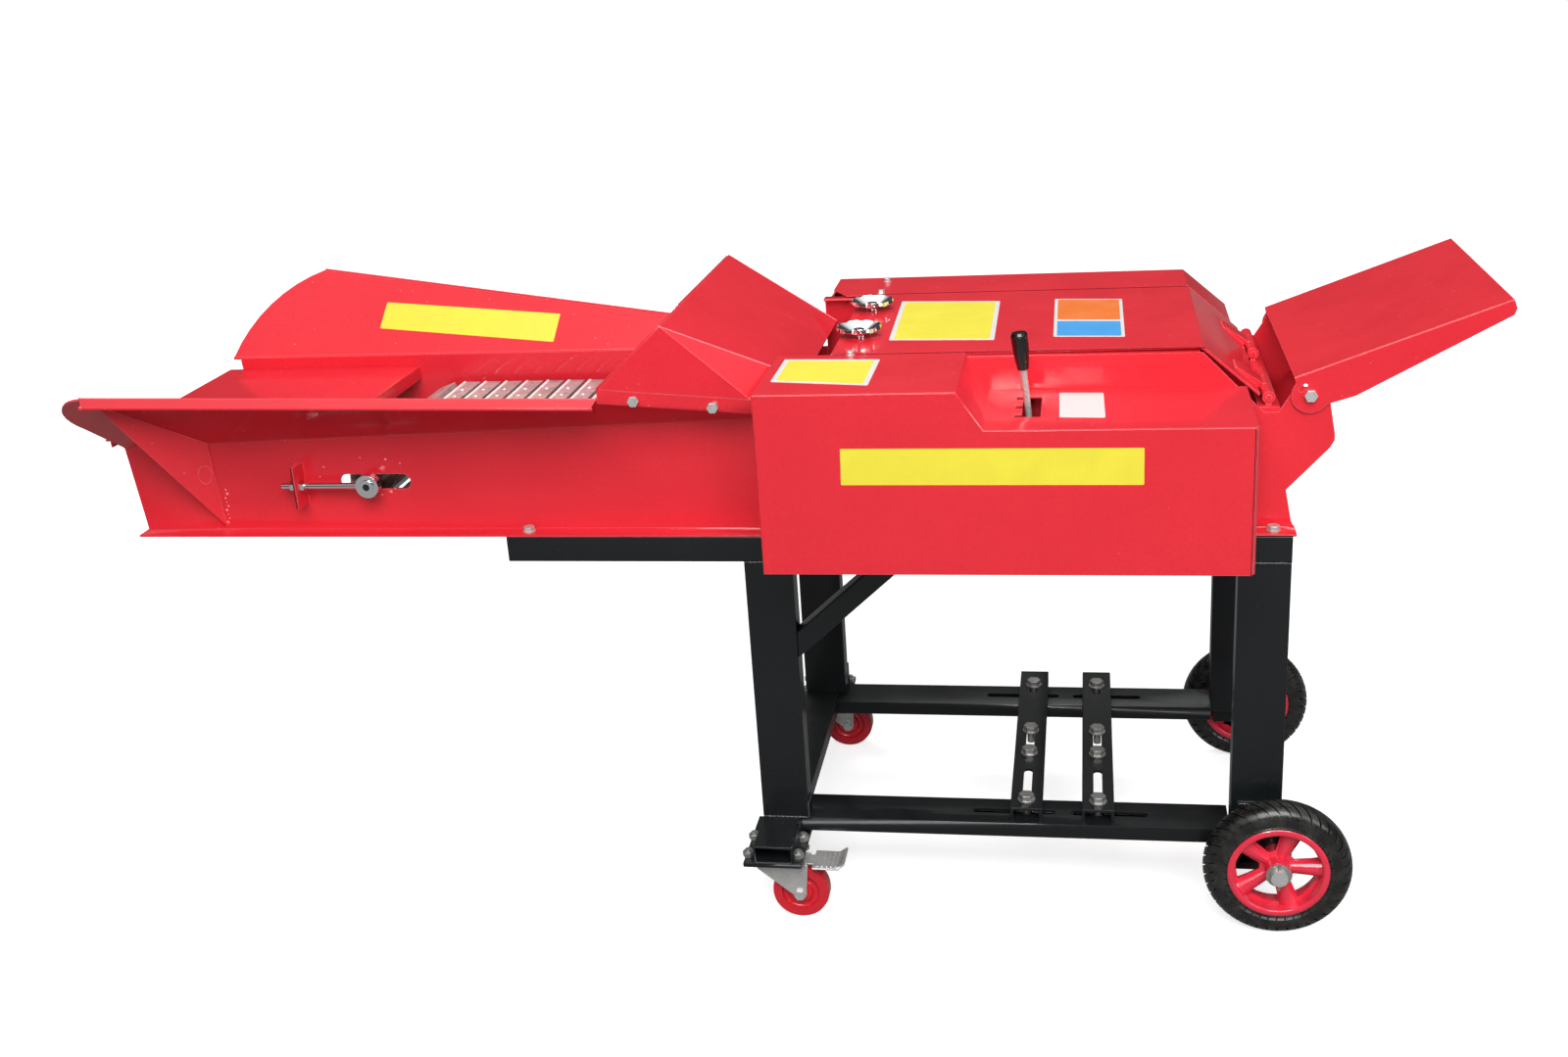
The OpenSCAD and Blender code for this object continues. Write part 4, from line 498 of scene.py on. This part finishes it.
# Tyres: balloon section, curved tread grooves and fine rings on the side walls
WHEEL_X, WHEEL_Y, WHEEL_Z = 640.0, -30.6, 88.0
TYRE_R = 88.0
SHOULDER_R = 70.0
TYRE_HALF = 20.0
ROUNDNESS = 2 / 2.3
TREAD_HALF = 19.5
TREAD_FADE = 1.0
TREAD_UNITS = 40
TREAD_SWEEP = 0.3
GROOVE_DEEP = 3.2
SIPE_DEEP = 1.5
# Each unit of tread as its share of the pitch and what is cut there
UNIT = ((0.0, "land"), (0.03, "groove"), (0.19, "groove"), (0.22, "land"), (0.36, "land"), (0.55, "land"),
        (0.562, "sipe"), (0.598, "sipe"), (0.61, "land"), (0.80, "land"))


def tyre_section():
    """The section as (across, radius) pairs, from the near bead over the crown to the far one."""
    wall = [(-14.0, 58.4), (-18.0, 59.2), (-19.0, 60.8), (-19.4, 62.2), (-19.0, 62.9), (-19.6, 63.7),
            (-19.3, 64.4), (-19.9, 65.2), (-20.0, 67.5)]
    crown = []
    for degrees in (8, 15, 22, 27, 31, 34, 37, 41, 46, 52, 58, 64, 70, 76, 83, 90):
        turn = math.radians(degrees)
        crown.append((-TYRE_HALF * math.cos(turn) ** ROUNDNESS if degrees < 90 else 0.0,
                      SHOULDER_R + (TYRE_R - SHOULDER_R) * math.sin(turn) ** ROUNDNESS))
    near = wall + crown
    return near + [(-across, radius) for across, radius in reversed(near[:-1])]


def cut_depth(kind, across):
    """How deep the tread is cut at this place across the tyre."""
    reach = abs(across)
    shoulder = min(max((TREAD_HALF - reach) / TREAD_FADE, 0.0), 1.0)
    if kind == "groove":
        return GROOVE_DEEP * shoulder
    if kind == "sipe" and 1.5 < reach < 13.5:
        return SIPE_DEEP
    return 0.0


def treaded_tyre(name, node, side):
    section = tyre_section()
    rows = len(section)
    points = []
    for row, (across, radius) in enumerate(section):
        last, following = section[row - 1], section[(row + 1) % rows]
        run, climb = following[0] - last[0], following[1] - last[1]
        length = math.hypot(run, climb)
        outward = (-climb / length, run / length)
        placed = min(max(across, -TREAD_HALF), TREAD_HALF)
        sweep = TREAD_SWEEP * ((TREAD_HALF - placed) / (2 * TREAD_HALF)) ** 1.4
        for unit in range(TREAD_UNITS):
            for share, kind in UNIT:
                depth = cut_depth(kind, across)
                turn = 2 * math.pi * (unit + share) / TREAD_UNITS + sweep
                y = across - depth * outward[0]
                r = radius - depth * outward[1]
                place_y = WHEEL_Y + y if side > 0 else far(WHEEL_Y) - y
                points.append(at(WHEEL_X + r * math.sin(turn), place_y, WHEEL_Z + r * math.cos(turn)))
    columns = TREAD_UNITS * len(UNIT)
    faces = []
    for row in range(rows):
        for column in range(columns):
            a = row * columns + column
            b = row * columns + (column + 1) % columns
            c = ((row + 1) % rows) * columns
            quad = (a, b, c + (column + 1) % columns, c + column)
            faces.append(quad if side > 0 else quad[::-1])
    mesh = bpy.data.meshes.new(name)
    mesh.from_pydata(points, [], faces)
    smooth_faces(mesh, 32.0)
    piece = new_piece(name, mesh, body_of[node], finishes["tyre"])
    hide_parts(node)
    return piece


def turned_ring(name, section, body, finish, side, turns=96):
    """A ring about the wheel's axle, from (across, radius) pairs round its section."""
    points, faces = [], []
    for across, radius in section:
        for k in range(turns):
            turn = 2 * math.pi * k / turns
            y = WHEEL_Y + across if side > 0 else far(WHEEL_Y) - across
            points.append(at(WHEEL_X + radius * math.sin(turn), y, WHEEL_Z + radius * math.cos(turn)))
    rows = len(section)
    for row in range(rows):
        for k in range(turns):
            a, b = row * turns + k, row * turns + (k + 1) % turns
            c = ((row + 1) % rows) * turns
            quad = (a, b, c + (k + 1) % turns, c + k)
            faces.append(quad if side > 0 else quad[::-1])
    mesh = bpy.data.meshes.new(name)
    mesh.from_pydata(points, [], faces)
    smooth_faces(mesh, 50.0)
    return new_piece(name, mesh, body, finish)


def rim_flange(face):
    """The rolled lip that holds the tyre's bead, on the face given as -1 or 1."""
    near_side = [(-17.6, 51.9), (-19.0, 52.2), (-19.8, 53.4), (-20.0, 55.2), (-19.9, 57.2), (-19.4, 59.0),
                 (-18.4, 60.2), (-17.6, 59.6)]
    return near_side if face < 0 else [(-across, radius) for across, radius in reversed(near_side)]


for side, where in ((1, "near"), (-1, "far")):
    treaded_tyre("tyre_" + where + "_treaded", "tyre_" + where, side)
    for face, word in ((-1, "outer"), (1, "inner")):
        turned_ring("rim_" + where + "_" + word + "_flange", rim_flange(face), body_of["rim_" + where],
                    finishes["rim_red"], side)


# Rolled hems, painted fold highlights and weld beads
def tube_along(bm, points, radii, sides=10):
    """A round tube through the points, closed at both ends."""
    rings = []
    for index, point in enumerate(points):
        ahead = points[min(index + 1, len(points) - 1)] - points[max(index - 1, 0)]
        turn = ahead.to_track_quat("Z", "X")
        ring = []
        for k in range(sides):
            spin = 2 * math.pi * k / sides
            ring.append(bm.verts.new(point + turn @ Vector((math.cos(spin), math.sin(spin), 0)) * radii[index]))
        rings.append(ring)
    for low, high in zip(rings, rings[1:]):
        for k in range(sides):
            bm.faces.new((low[k], low[(k + 1) % sides], high[(k + 1) % sides], high[k]))
    bm.faces.new(rings[0][::-1])
    bm.faces.new(rings[-1])


def bent_path(corners, bend, step=4):
    """The corners joined by straight runs, each corner rounded off over bend metres."""
    path = [corners[0]]
    for last, corner, following in zip(corners, corners[1:], corners[2:]):
        start = corner + (last - corner).normalized() * bend
        end = corner + (following - corner).normalized() * bend
        for k in range(step + 1):
            t = k / step
            path.append((1 - t) ** 2 * start + 2 * t * (1 - t) * corner + t ** 2 * end)
    return path + [corners[-1]]


def piece_from(bm, name, body, finish, angle=60.0):
    bmesh.ops.recalc_face_normals(bm, faces=bm.faces)
    mesh = bpy.data.meshes.new(name)
    bm.to_mesh(mesh)
    bm.free()
    smooth_faces(mesh, angle)
    return new_piece(name, mesh, body, finish)


HEM_R = 1.7
hem = bmesh.new()
hood_edge = [at(-156.5, -21.5, 699.6), at(-77.4, -8.5, 769.6), at(-77.4, far(-8.5), 769.6), at(-156.5, far(-21.5), 699.6)]
hem_path = bent_path(hood_edge, 0.006)
tube_along(hem, hem_path, [HEM_R * MM] * len(hem_path))
piece_from(hem, "hood_hem", body_of["hood"], finishes["red_paint"])

# Pale beads along the hood's two folds: a painted highlight for the light the bends catch. The same pale red is the
# rubbed paint on the weld spatter
FOLD_HIGHLIGHT_R = 1.3
worn_and_highlight_red = sprayed_finish("worn_and_highlight_red", colour(250, 112, 122), RED_EDGE_WEAR_AND_HIGHLIGHT, RED_FLECK, RED_FLECK, 0.34, 0.8, 0.00002,
                            shine=0.1)
fold = bmesh.new()
for depth in (lambda y: y, far):
    tube_along(fold, [at(-76.4, depth(-9.6), 770.3), at(80, depth(52.2), 688.4)], [FOLD_HIGHLIGHT_R * MM] * 2)
piece_from(fold, "hood_fold_highlights", body_of["hood"], worn_and_highlight_red)

BEAD_STEP = 1.7
weld_grey = sprayed_finish("weld_grey", colour(52, 56, 58), colour(24, 26, 28), colour(150, 152, 152), colour(130, 132, 132), 0.3, 0.3,
                           0.00008, shine=0.5, fleck_share=0.3)


def weld_run(bm, start, end, radius):
    """A hand-laid weld: a tube that swells and thins with each dip of the rod."""
    length = (end - start).length / MM
    count = max(int(length / BEAD_STEP), 4)
    points, radii = [], []
    for k in range(count + 1):
        t = k / count
        wander = math.sin(k * 2.3) * 0.25 + math.sin(k * 0.71) * 0.35
        swell = 0.78 + 0.2 * math.sin(k * 1.9) + 0.12 * math.sin(k * 0.53)
        taper = min(1.0, 0.45 + 4 * min(t, 1 - t))
        points.append(start + (end - start) * t + Vector((0, 0, wander * 0.4 * MM)))
        radii.append(radius * MM * swell * taper)
    tube_along(bm, points, radii, 8)


LEG_FOOT_Z = 118.0
LEG_W = 60.0
TUBE_D = 30.0
RIGHT_LEG_X = 586.0
RAIL_UNDER_Z = 98.0
stand_welds = bmesh.new()
for depth in (lambda y: y, far):
    for start, end in (((1, -0.4, LEG_FOOT_Z), (LEG_W - 1, -0.4, LEG_FOOT_Z)),
                       ((LEG_W + 0.4, 1, LEG_FOOT_Z + 20), (LEG_W + 0.4, TUBE_D - 1, LEG_FOOT_Z + 20)),
                       ((LEG_W + 0.4, -0.4, LEG_FOOT_Z), (LEG_W + 0.4, -0.4, LEG_FOOT_Z + 19)),
                       ((RIGHT_LEG_X - 0.4, -0.4, RAIL_UNDER_Z + 1), (RIGHT_LEG_X - 0.4, -0.4, RAIL_UNDER_Z + 19)),
                       ((RIGHT_LEG_X + 9, -6.2, 158), (RIGHT_LEG_X + 58, -6.2, 158)),
                       ((1, -0.3, 472), (LEG_W - 1, -0.3, 472)),
                       ((RIGHT_LEG_X + 1, -0.3, 472), (RIGHT_LEG_X + LEG_W - 1, -0.3, 472))):
        weld_run(stand_welds, at(start[0], depth(start[1]), start[2]), at(end[0], depth(end[1]), end[2]), 1.9)
piece_from(stand_welds, "stand_welds", body_of["legs"], weld_grey)


# Weld spatter, the mark on the gusset and the slats' dimples
def dome(bm, place, outward, radius, height, sides=9):
    """A low round lump on a flat face."""
    turn = outward.to_track_quat("Z", "X")
    rings = []
    for share, rise in ((1.0, 0.0), (0.82, 0.55), (0.45, 0.9)):
        ring = []
        for k in range(sides):
            spin = 2 * math.pi * k / sides
            flat = turn @ Vector((math.cos(spin), math.sin(spin), 0)) * radius * share * MM
            ring.append(bm.verts.new(place + flat + outward * rise * height * MM))
        rings.append(ring)
    for low, high in zip(rings, rings[1:]):
        for k in range(sides):
            bm.faces.new((low[k], low[(k + 1) % sides], high[(k + 1) % sides], high[k]))
    bm.faces.new(rings[-1])
    bm.faces.new(rings[0][::-1])


FRONT = Vector((0, -1, 0))
UP = Vector((0, 0, 1))
PANEL_Y = 27.5
spatter = bmesh.new()
for x, z, radius in ((-456.5, 599.3, 1.9), (-462, 589, 1.5), (-455.4, 556, 2.2), (-468, 552.2, 1.6), (-437.7, 594, 1.2),
                     (-449, 560.5, 1.3), (-478, 549.5, 1.2), (-490, 602, 1.0), (-541, 590, 1.5), (-548, 577, 1.2)):
    dome(spatter, at(x, PANEL_Y, z), FRONT, radius, radius * 0.7)
for k in range(9):
    dome(spatter, at(-681.5 - 0.45 * k + 1.6 * math.sin(k * 2.1), PANEL_Y, 560 - 5.6 * k), FRONT, 1.5 + 0.7 * math.sin(k * 1.7), 1.3)
piece_from(spatter, "weld_spatter", body_of["trough_side_near"], worn_and_highlight_red)

GUSSET_MIDDLE = at(-700.4, 18.0, 584)
GUSSET_OUT = Vector((0.658, -0.752, 0.04))
gusset_across = GUSSET_OUT.cross(UP).normalized()
gusset_up = gusset_across.cross(GUSSET_OUT).normalized()
mark = bmesh.new()
mark_path = []
for k in range(33):
    turn = 2 * math.pi * k / 32
    mark_path.append(GUSSET_MIDDLE + (gusset_across * 8.5 * math.cos(turn) + gusset_up * 12 * math.sin(turn)) * MM)
tube_along(mark, mark_path, [0.7 * MM] * len(mark_path), 6)
piece_from(mark, "gusset_mark", body_of["trough_side_near"], finishes["red_paint"])

SLAT_TOP = 611.0
SLAT_FIRST = -453.0
SLAT_PITCH = 31.0
dimples = bmesh.new()
for k in range(17):
    for y in (88, 120, 272, 304):
        dome(dimples, at(SLAT_FIRST + SLAT_PITCH * k, y, SLAT_TOP - 0.1), UP, 3.4, 1.2, 12)
piece_from(dimples, "slat_dimples", body_of["conveyor_slats"], finishes["zinc"])
SLAT_HALF = 12.5
SLAT_ENDS = (47, 345)
LIP_R = 2.4
lips = bmesh.new()
for k in range(17):
    edge = SLAT_FIRST + SLAT_PITCH * k - SLAT_HALF + LIP_R
    tube_along(lips, [at(edge, y, SLAT_TOP - 1.0) for y in SLAT_ENDS], [LIP_R * MM] * 2, 8)
# The lips are near-white zinc: a painted highlight for the light along each rolled lip
lip_highlight_zinc = metal_finish("lip_highlight_zinc", colour(252, 248, 248), ZINC, 0.25, stain=0.1, metallic=0.15)
piece_from(lips, "slat_lips", body_of["conveyor_slats"], lip_highlight_zinc)

# A flat black disc on each eye of the tail shaft: painted shade where the bore is, not a hole
EYE_X, EYE_Z = -477.0, 570.0
eye_bore_shades = bmesh.new()
dome(eye_bore_shades, at(EYE_X, 4.0, EYE_Z), FRONT, 4.6, 0.15, 20)
dome(eye_bore_shades, at(EYE_X, far(4.0), EYE_Z), -FRONT, 4.6, 0.15, 20)
piece_from(eye_bore_shades, "eye_bore_shades", body_of["tail_shaft"], finishes["grip"])


# Painted shade in the narrow gaps between sheets
SEAM_SHADE = colour(84, 12, 20)
seam_shade_finish = sprayed_finish("seam_shade", SEAM_SHADE, colour(48, 8, 12), SHEET_RED_DEEP, SHEET_RED_DEEP, 0.6, 0.0, 0.00002,
                             shine=0.05)


def seam_shade_strip(name, start, end, outward, width, body):
    """A narrow dark strip along a joint: painted shade for the shadow in the gap."""
    first, last = at(*start), at(*end)
    side = (last - first).normalized().cross(outward) * width / 2 * MM
    rise = outward * 0.1 * MM
    corners = [first - side, last - side, last + side, first + side]
    points = [c - rise for c in corners] + [c + rise for c in corners]
    faces = [(3, 2, 1, 0), (4, 5, 6, 7)] + [(k, (k + 1) % 4, 4 + (k + 1) % 4, 4 + k) for k in range(4)]
    mesh = bpy.data.meshes.new(name)
    mesh.from_pydata(points, [], faces)
    return new_piece(name, mesh, body, seam_shade_finish)


seam_shade_strip("cover_far_seam_shade", (118, 352.6, 720.5), (546, 352.6, 720.5), UP, 3.2, body_of["far_guard"])
seam_shade_strip("cover_near_seam_shade", (118, 39.0, 720.4), (546, 39.0, 720.4), UP, 2.0, body_of["near_guard"])
seam_shade_strip("guard_flange_seam_shade", (587.3, -129.98, 508), (587.3, -129.98, 676), FRONT, 0.9, body_of["near_guard"])


# Blank plates: the places of the machine's labels, left plain
PLATE_T = 0.25


def rounded_outline(corners, radius, step=4):
    """The corners of a flat plate with each one rounded, as points."""
    outline = []
    count = len(corners)
    for k in range(count):
        corner = corners[k]
        start = corner + (corners[k - 1] - corner).normalized() * radius
        end = corner + (corners[(k + 1) % count] - corner).normalized() * radius
        for n in range(step + 1):
            t = n / step
            outline.append((1 - t) ** 2 * start + 2 * t * (1 - t) * corner + t ** 2 * end)
    return outline


def blank_plate(name, corners, body, finish, lift=0.0, margin=0.0, corner_r=2.5, thick=PLATE_T):
    """A thin printed film on the sheet. corners are in millimetres, anticlockwise as seen from outside."""
    places = [at(*corner) for corner in corners]
    outward = (places[1] - places[0]).cross(places[3] - places[0]).normalized()
    middle = sum(places, Vector()) / len(places)
    if margin:
        inner = []
        for k, place in enumerate(places):
            last = (places[k - 1] - place).normalized()
            following = (places[(k + 1) % 4] - place).normalized()
            spread = max(last.cross(following).length, 0.2)
            inner.append(place + (last + following) * margin * MM / spread)
        places = inner
    outline = rounded_outline(places, corner_r * MM)
    low = [point + outward * lift * MM for point in outline]
    high = [point + outward * (lift + thick) * MM for point in outline]
    count = len(outline)
    faces = [tuple(range(count))[::-1], tuple(range(count, 2 * count))]
    faces += [(k, (k + 1) % count, count + (k + 1) % count, count + k) for k in range(count)]
    mesh = bpy.data.meshes.new(name)
    mesh.from_pydata(low + high, [], faces)
    smooth_faces(mesh, 30.0)
    return new_piece(name, mesh, body, finish)


def along(first, second, share):
    return tuple(a + (b - a) * share for a, b in zip(first, second))


guard_corners = [(63.4, -75.1, 720), (176.1, -96, 720), (177.4, 13.7, 720), (64, 22.2, 720)]
blank_plate("guard_plate_border", guard_corners, body_of["near_guard"], plate_white, lift=-0.05)
blank_plate("guard_plate", guard_corners, body_of["near_guard"], plate_yellow, lift=0.2, margin=6.0, thick=0.08)
cover_corners = [(178.1, 100.9, 720.5), (304.9, 91.8, 720.5), (302.6, 294.6, 720.5), (173.6, 306.9, 720.5)]
blank_plate("cover_plate_border", cover_corners, body_of["cover"], plate_white, lift=-0.05)
blank_plate("cover_plate", cover_corners, body_of["cover"], plate_yellow, lift=0.2, margin=5.5, thick=0.08)
field_corners = [(374.3, 101.2, 720.5), (457.4, 93.8, 720.5), (457.8, 288.7, 720.5), (372.9, 298.4, 720.5)]
blank_plate("field_plate_border", field_corners, body_of["cover"], plate_white, lift=-0.05)
NEAR_FIELD = 0.41
left_split = along(field_corners[0], field_corners[3], NEAR_FIELD)
right_split = along(field_corners[1], field_corners[2], NEAR_FIELD)
blank_plate("field_plate_near", [field_corners[0], field_corners[1], right_split, left_split],
            body_of["cover"], plate_blue, lift=0.2, margin=4.0, corner_r=0.6, thick=0.08)
blank_plate("field_plate_far", [left_split, right_split, field_corners[2], field_corners[3]],
            body_of["cover"], plate_orange, lift=0.2, margin=4.0, corner_r=0.6, thick=0.08)
blank_plate("lever_plate", [(383.6, -84.2, 677), (433, -87.9, 677), (431.8, 9.2, 677), (382.3, 12, 677)],
            body_of["near_guard"], plate_white, lift=-0.05)
blank_plate("front_plate", [(145.6, -130, 616), (473.4, -130, 614.2), (473.4, -130, 655.8), (146.7, -130, 658)],
            body_of["near_guard"], plate_yellow, lift=-0.13, corner_r=1.5)
blank_plate("wing_plate", [(-598, 385.3, 682.9), (-333.4, 370.7, 660.5), (-325.9, 393.5, 695.6), (-590.3, 406.9, 716.1)],
            body_of["trough_side_far"], plate_yellow, lift=-0.05, corner_r=2.0)


# Floor, backdrop, light and camera
SHADOW_NEAR = 0.9
SHADOW_FAR = 1.7
MIRRORED_FLOOR = 0.2


def bright_for_view(name, shade, glow, other_shade):
    """A pale floor finish: white to the camera, paler in reflections, with the object's shadow kept near it."""
    material = bpy.data.materials.new(name)
    material.use_nodes = True
    bench = Bench(material.node_tree)
    material.node_tree.nodes.remove(material.node_tree.nodes["Principled BSDF"])
    path = bench.add("ShaderNodeLightPath")
    seen = bench.maths("MAXIMUM", path.outputs["Is Camera Ray"], path.outputs["Is Transmission Ray"])
    matt = bench.add("ShaderNodeBsdfDiffuse")
    bench.join(bench.blend(seen, other_shade, shade), matt.inputs["Color"])
    reach = bench.add("ShaderNodeVectorMath", operation="LENGTH")
    bench.join(object_place(bench), reach.inputs[0])
    away = bench.ramp(reach.outputs["Value"], SHADOW_NEAR, SHADOW_FAR)
    glowing = bench.add("ShaderNodeEmission")
    lit = bench.ramp(away, 0.0, 1.0, glow, 1.0)
    mirrored = bench.maths("MULTIPLY", path.outputs["Is Glossy Ray"], MIRRORED_FLOOR)
    bench.join(bench.maths("MULTIPLY", bench.maths("ADD", seen, mirrored), lit), glowing.inputs["Strength"])
    total = bench.add("ShaderNodeAddShader")
    bench.join(matt.outputs[0], total.inputs[0])
    bench.join(glowing.outputs[0], total.inputs[1])
    bench.join(total.outputs[0], material.node_tree.nodes["Material Output"].inputs["Surface"])
    return material


floor_mesh = bpy.data.meshes.new("studio_floor")
FLOOR_HALF = 14.0
floor_mesh.from_pydata([(-FLOOR_HALF, -FLOOR_HALF, 0), (FLOOR_HALF, -FLOOR_HALF, 0), (FLOOR_HALF, FLOOR_HALF, 0),
                        (-FLOOR_HALF, FLOOR_HALF, 0)], [], [(0, 1, 2, 3)])
floor = bpy.data.objects.new("studio_floor", floor_mesh)
bpy.context.scene.collection.objects.link(floor)
floor_mesh.materials.append(bright_for_view("studio_floor", (0.8, 0.8, 0.8, 1), 0.7, (0.16, 0.16, 0.16, 1)))

ROOM_LIGHT = 0.12
HORIZON_GLOW = 0.06
CEILING_GLOW = 1.1
world = bpy.data.worlds.new("studio")
bpy.context.scene.world = world
world.use_nodes = True
sky = Bench(world.node_tree)
path = sky.add("ShaderNodeLightPath")
seen = sky.maths("MAXIMUM", path.outputs["Is Camera Ray"], path.outputs["Is Transmission Ray"])
heading = sky.add("ShaderNodeSeparateXYZ")
sky.join(sky.add("ShaderNodeTexCoord").outputs["Generated"], heading.inputs[0])
ceiling = sky.ramp(heading.outputs["Z"], 0.45, 0.75, HORIZON_GLOW, CEILING_GLOW)
mirrored = sky.maths("MULTIPLY", path.outputs["Is Glossy Ray"], ceiling)
other = sky.maths("SUBTRACT", 1.0, sky.maths("MAXIMUM", seen, path.outputs["Is Glossy Ray"]))
room = world.node_tree.nodes["Background"]
room.inputs["Color"].default_value = (1, 1, 1, 1)
lit = sky.maths("ADD", sky.maths("MULTIPLY", other, ROOM_LIGHT), sky.maths("ADD", seen, mirrored))
sky.join(lit, room.inputs["Strength"])


def soft_lamp(name, place, aim, size, power):
    """A large square lamp that faces aim."""
    lamp = bpy.data.lights.new(name, "AREA")
    lamp.shape = "RECTANGLE"
    lamp.size, lamp.size_y = size
    lamp.energy = power
    holder = bpy.data.objects.new(name, lamp)
    bpy.context.scene.collection.objects.link(holder)
    holder.location = place
    holder.rotation_euler = (Vector(aim) - Vector(place)).to_track_quat("-Z", "Y").to_euler()
    return holder


soft_lamp("overhead_lamp", (0.2, -0.1, 2.7), (0.0, 0.0, 0.5), (1.8, 1.4), 9)
soft_lamp("front_lamp", (0.6, -3.2, 3.6), (0.0, 0.0, 0.5), (3.4, 2.6), 212)
soft_lamp("side_lamp", (2.4, -1.5, 1.3), (0.2, 0.0, 0.5), (1.0, 1.0), 14)
soft_lamp("rear_lamp", (-0.4, 1.7, 3.5), (0.0, 0.1, 0.5), (1.8, 1.2), 42)
soft_lamp("camera_side_lamp", (0.272, -2.425, 1.33), (0.3, 0.0, 0.6), (0.15, 0.15), 7)

# The camera stands where the photograph was taken from
CAMERA_AT = (412.3, -1855.9, 1215.9)
CAMERA_YAW = math.radians(-10.95)
CAMERA_PITCH = math.radians(20.32)
CAMERA_ROLL = math.radians(3.93)
PHOTO_WIDTH = 1600
FOCAL_PIXELS = 1703.7


def aim_camera():
    level = math.cos(CAMERA_PITCH)
    ahead = Vector((math.sin(CAMERA_YAW) * level, math.cos(CAMERA_YAW) * level, -math.sin(CAMERA_PITCH)))
    right = Vector((math.cos(CAMERA_YAW), -math.sin(CAMERA_YAW), 0))
    down = ahead.cross(right)
    across = math.cos(CAMERA_ROLL) * right + math.sin(CAMERA_ROLL) * down
    below = -math.sin(CAMERA_ROLL) * right + math.cos(CAMERA_ROLL) * down
    turned = Matrix((across, -below, -ahead)).transposed().to_4x4()
    lens = bpy.data.cameras.new("photo_camera")
    lens.sensor_fit = "HORIZONTAL"
    lens.sensor_width = 36.0
    lens.lens = FOCAL_PIXELS / PHOTO_WIDTH * lens.sensor_width
    camera = bpy.data.objects.new("photo_camera", lens)
    bpy.context.scene.collection.objects.link(camera)
    camera.matrix_world = Matrix.Translation(at(*CAMERA_AT)) @ turned
    bpy.context.scene.camera = camera


aim_camera()
bpy.context.scene.view_settings.view_transform = "Standard"
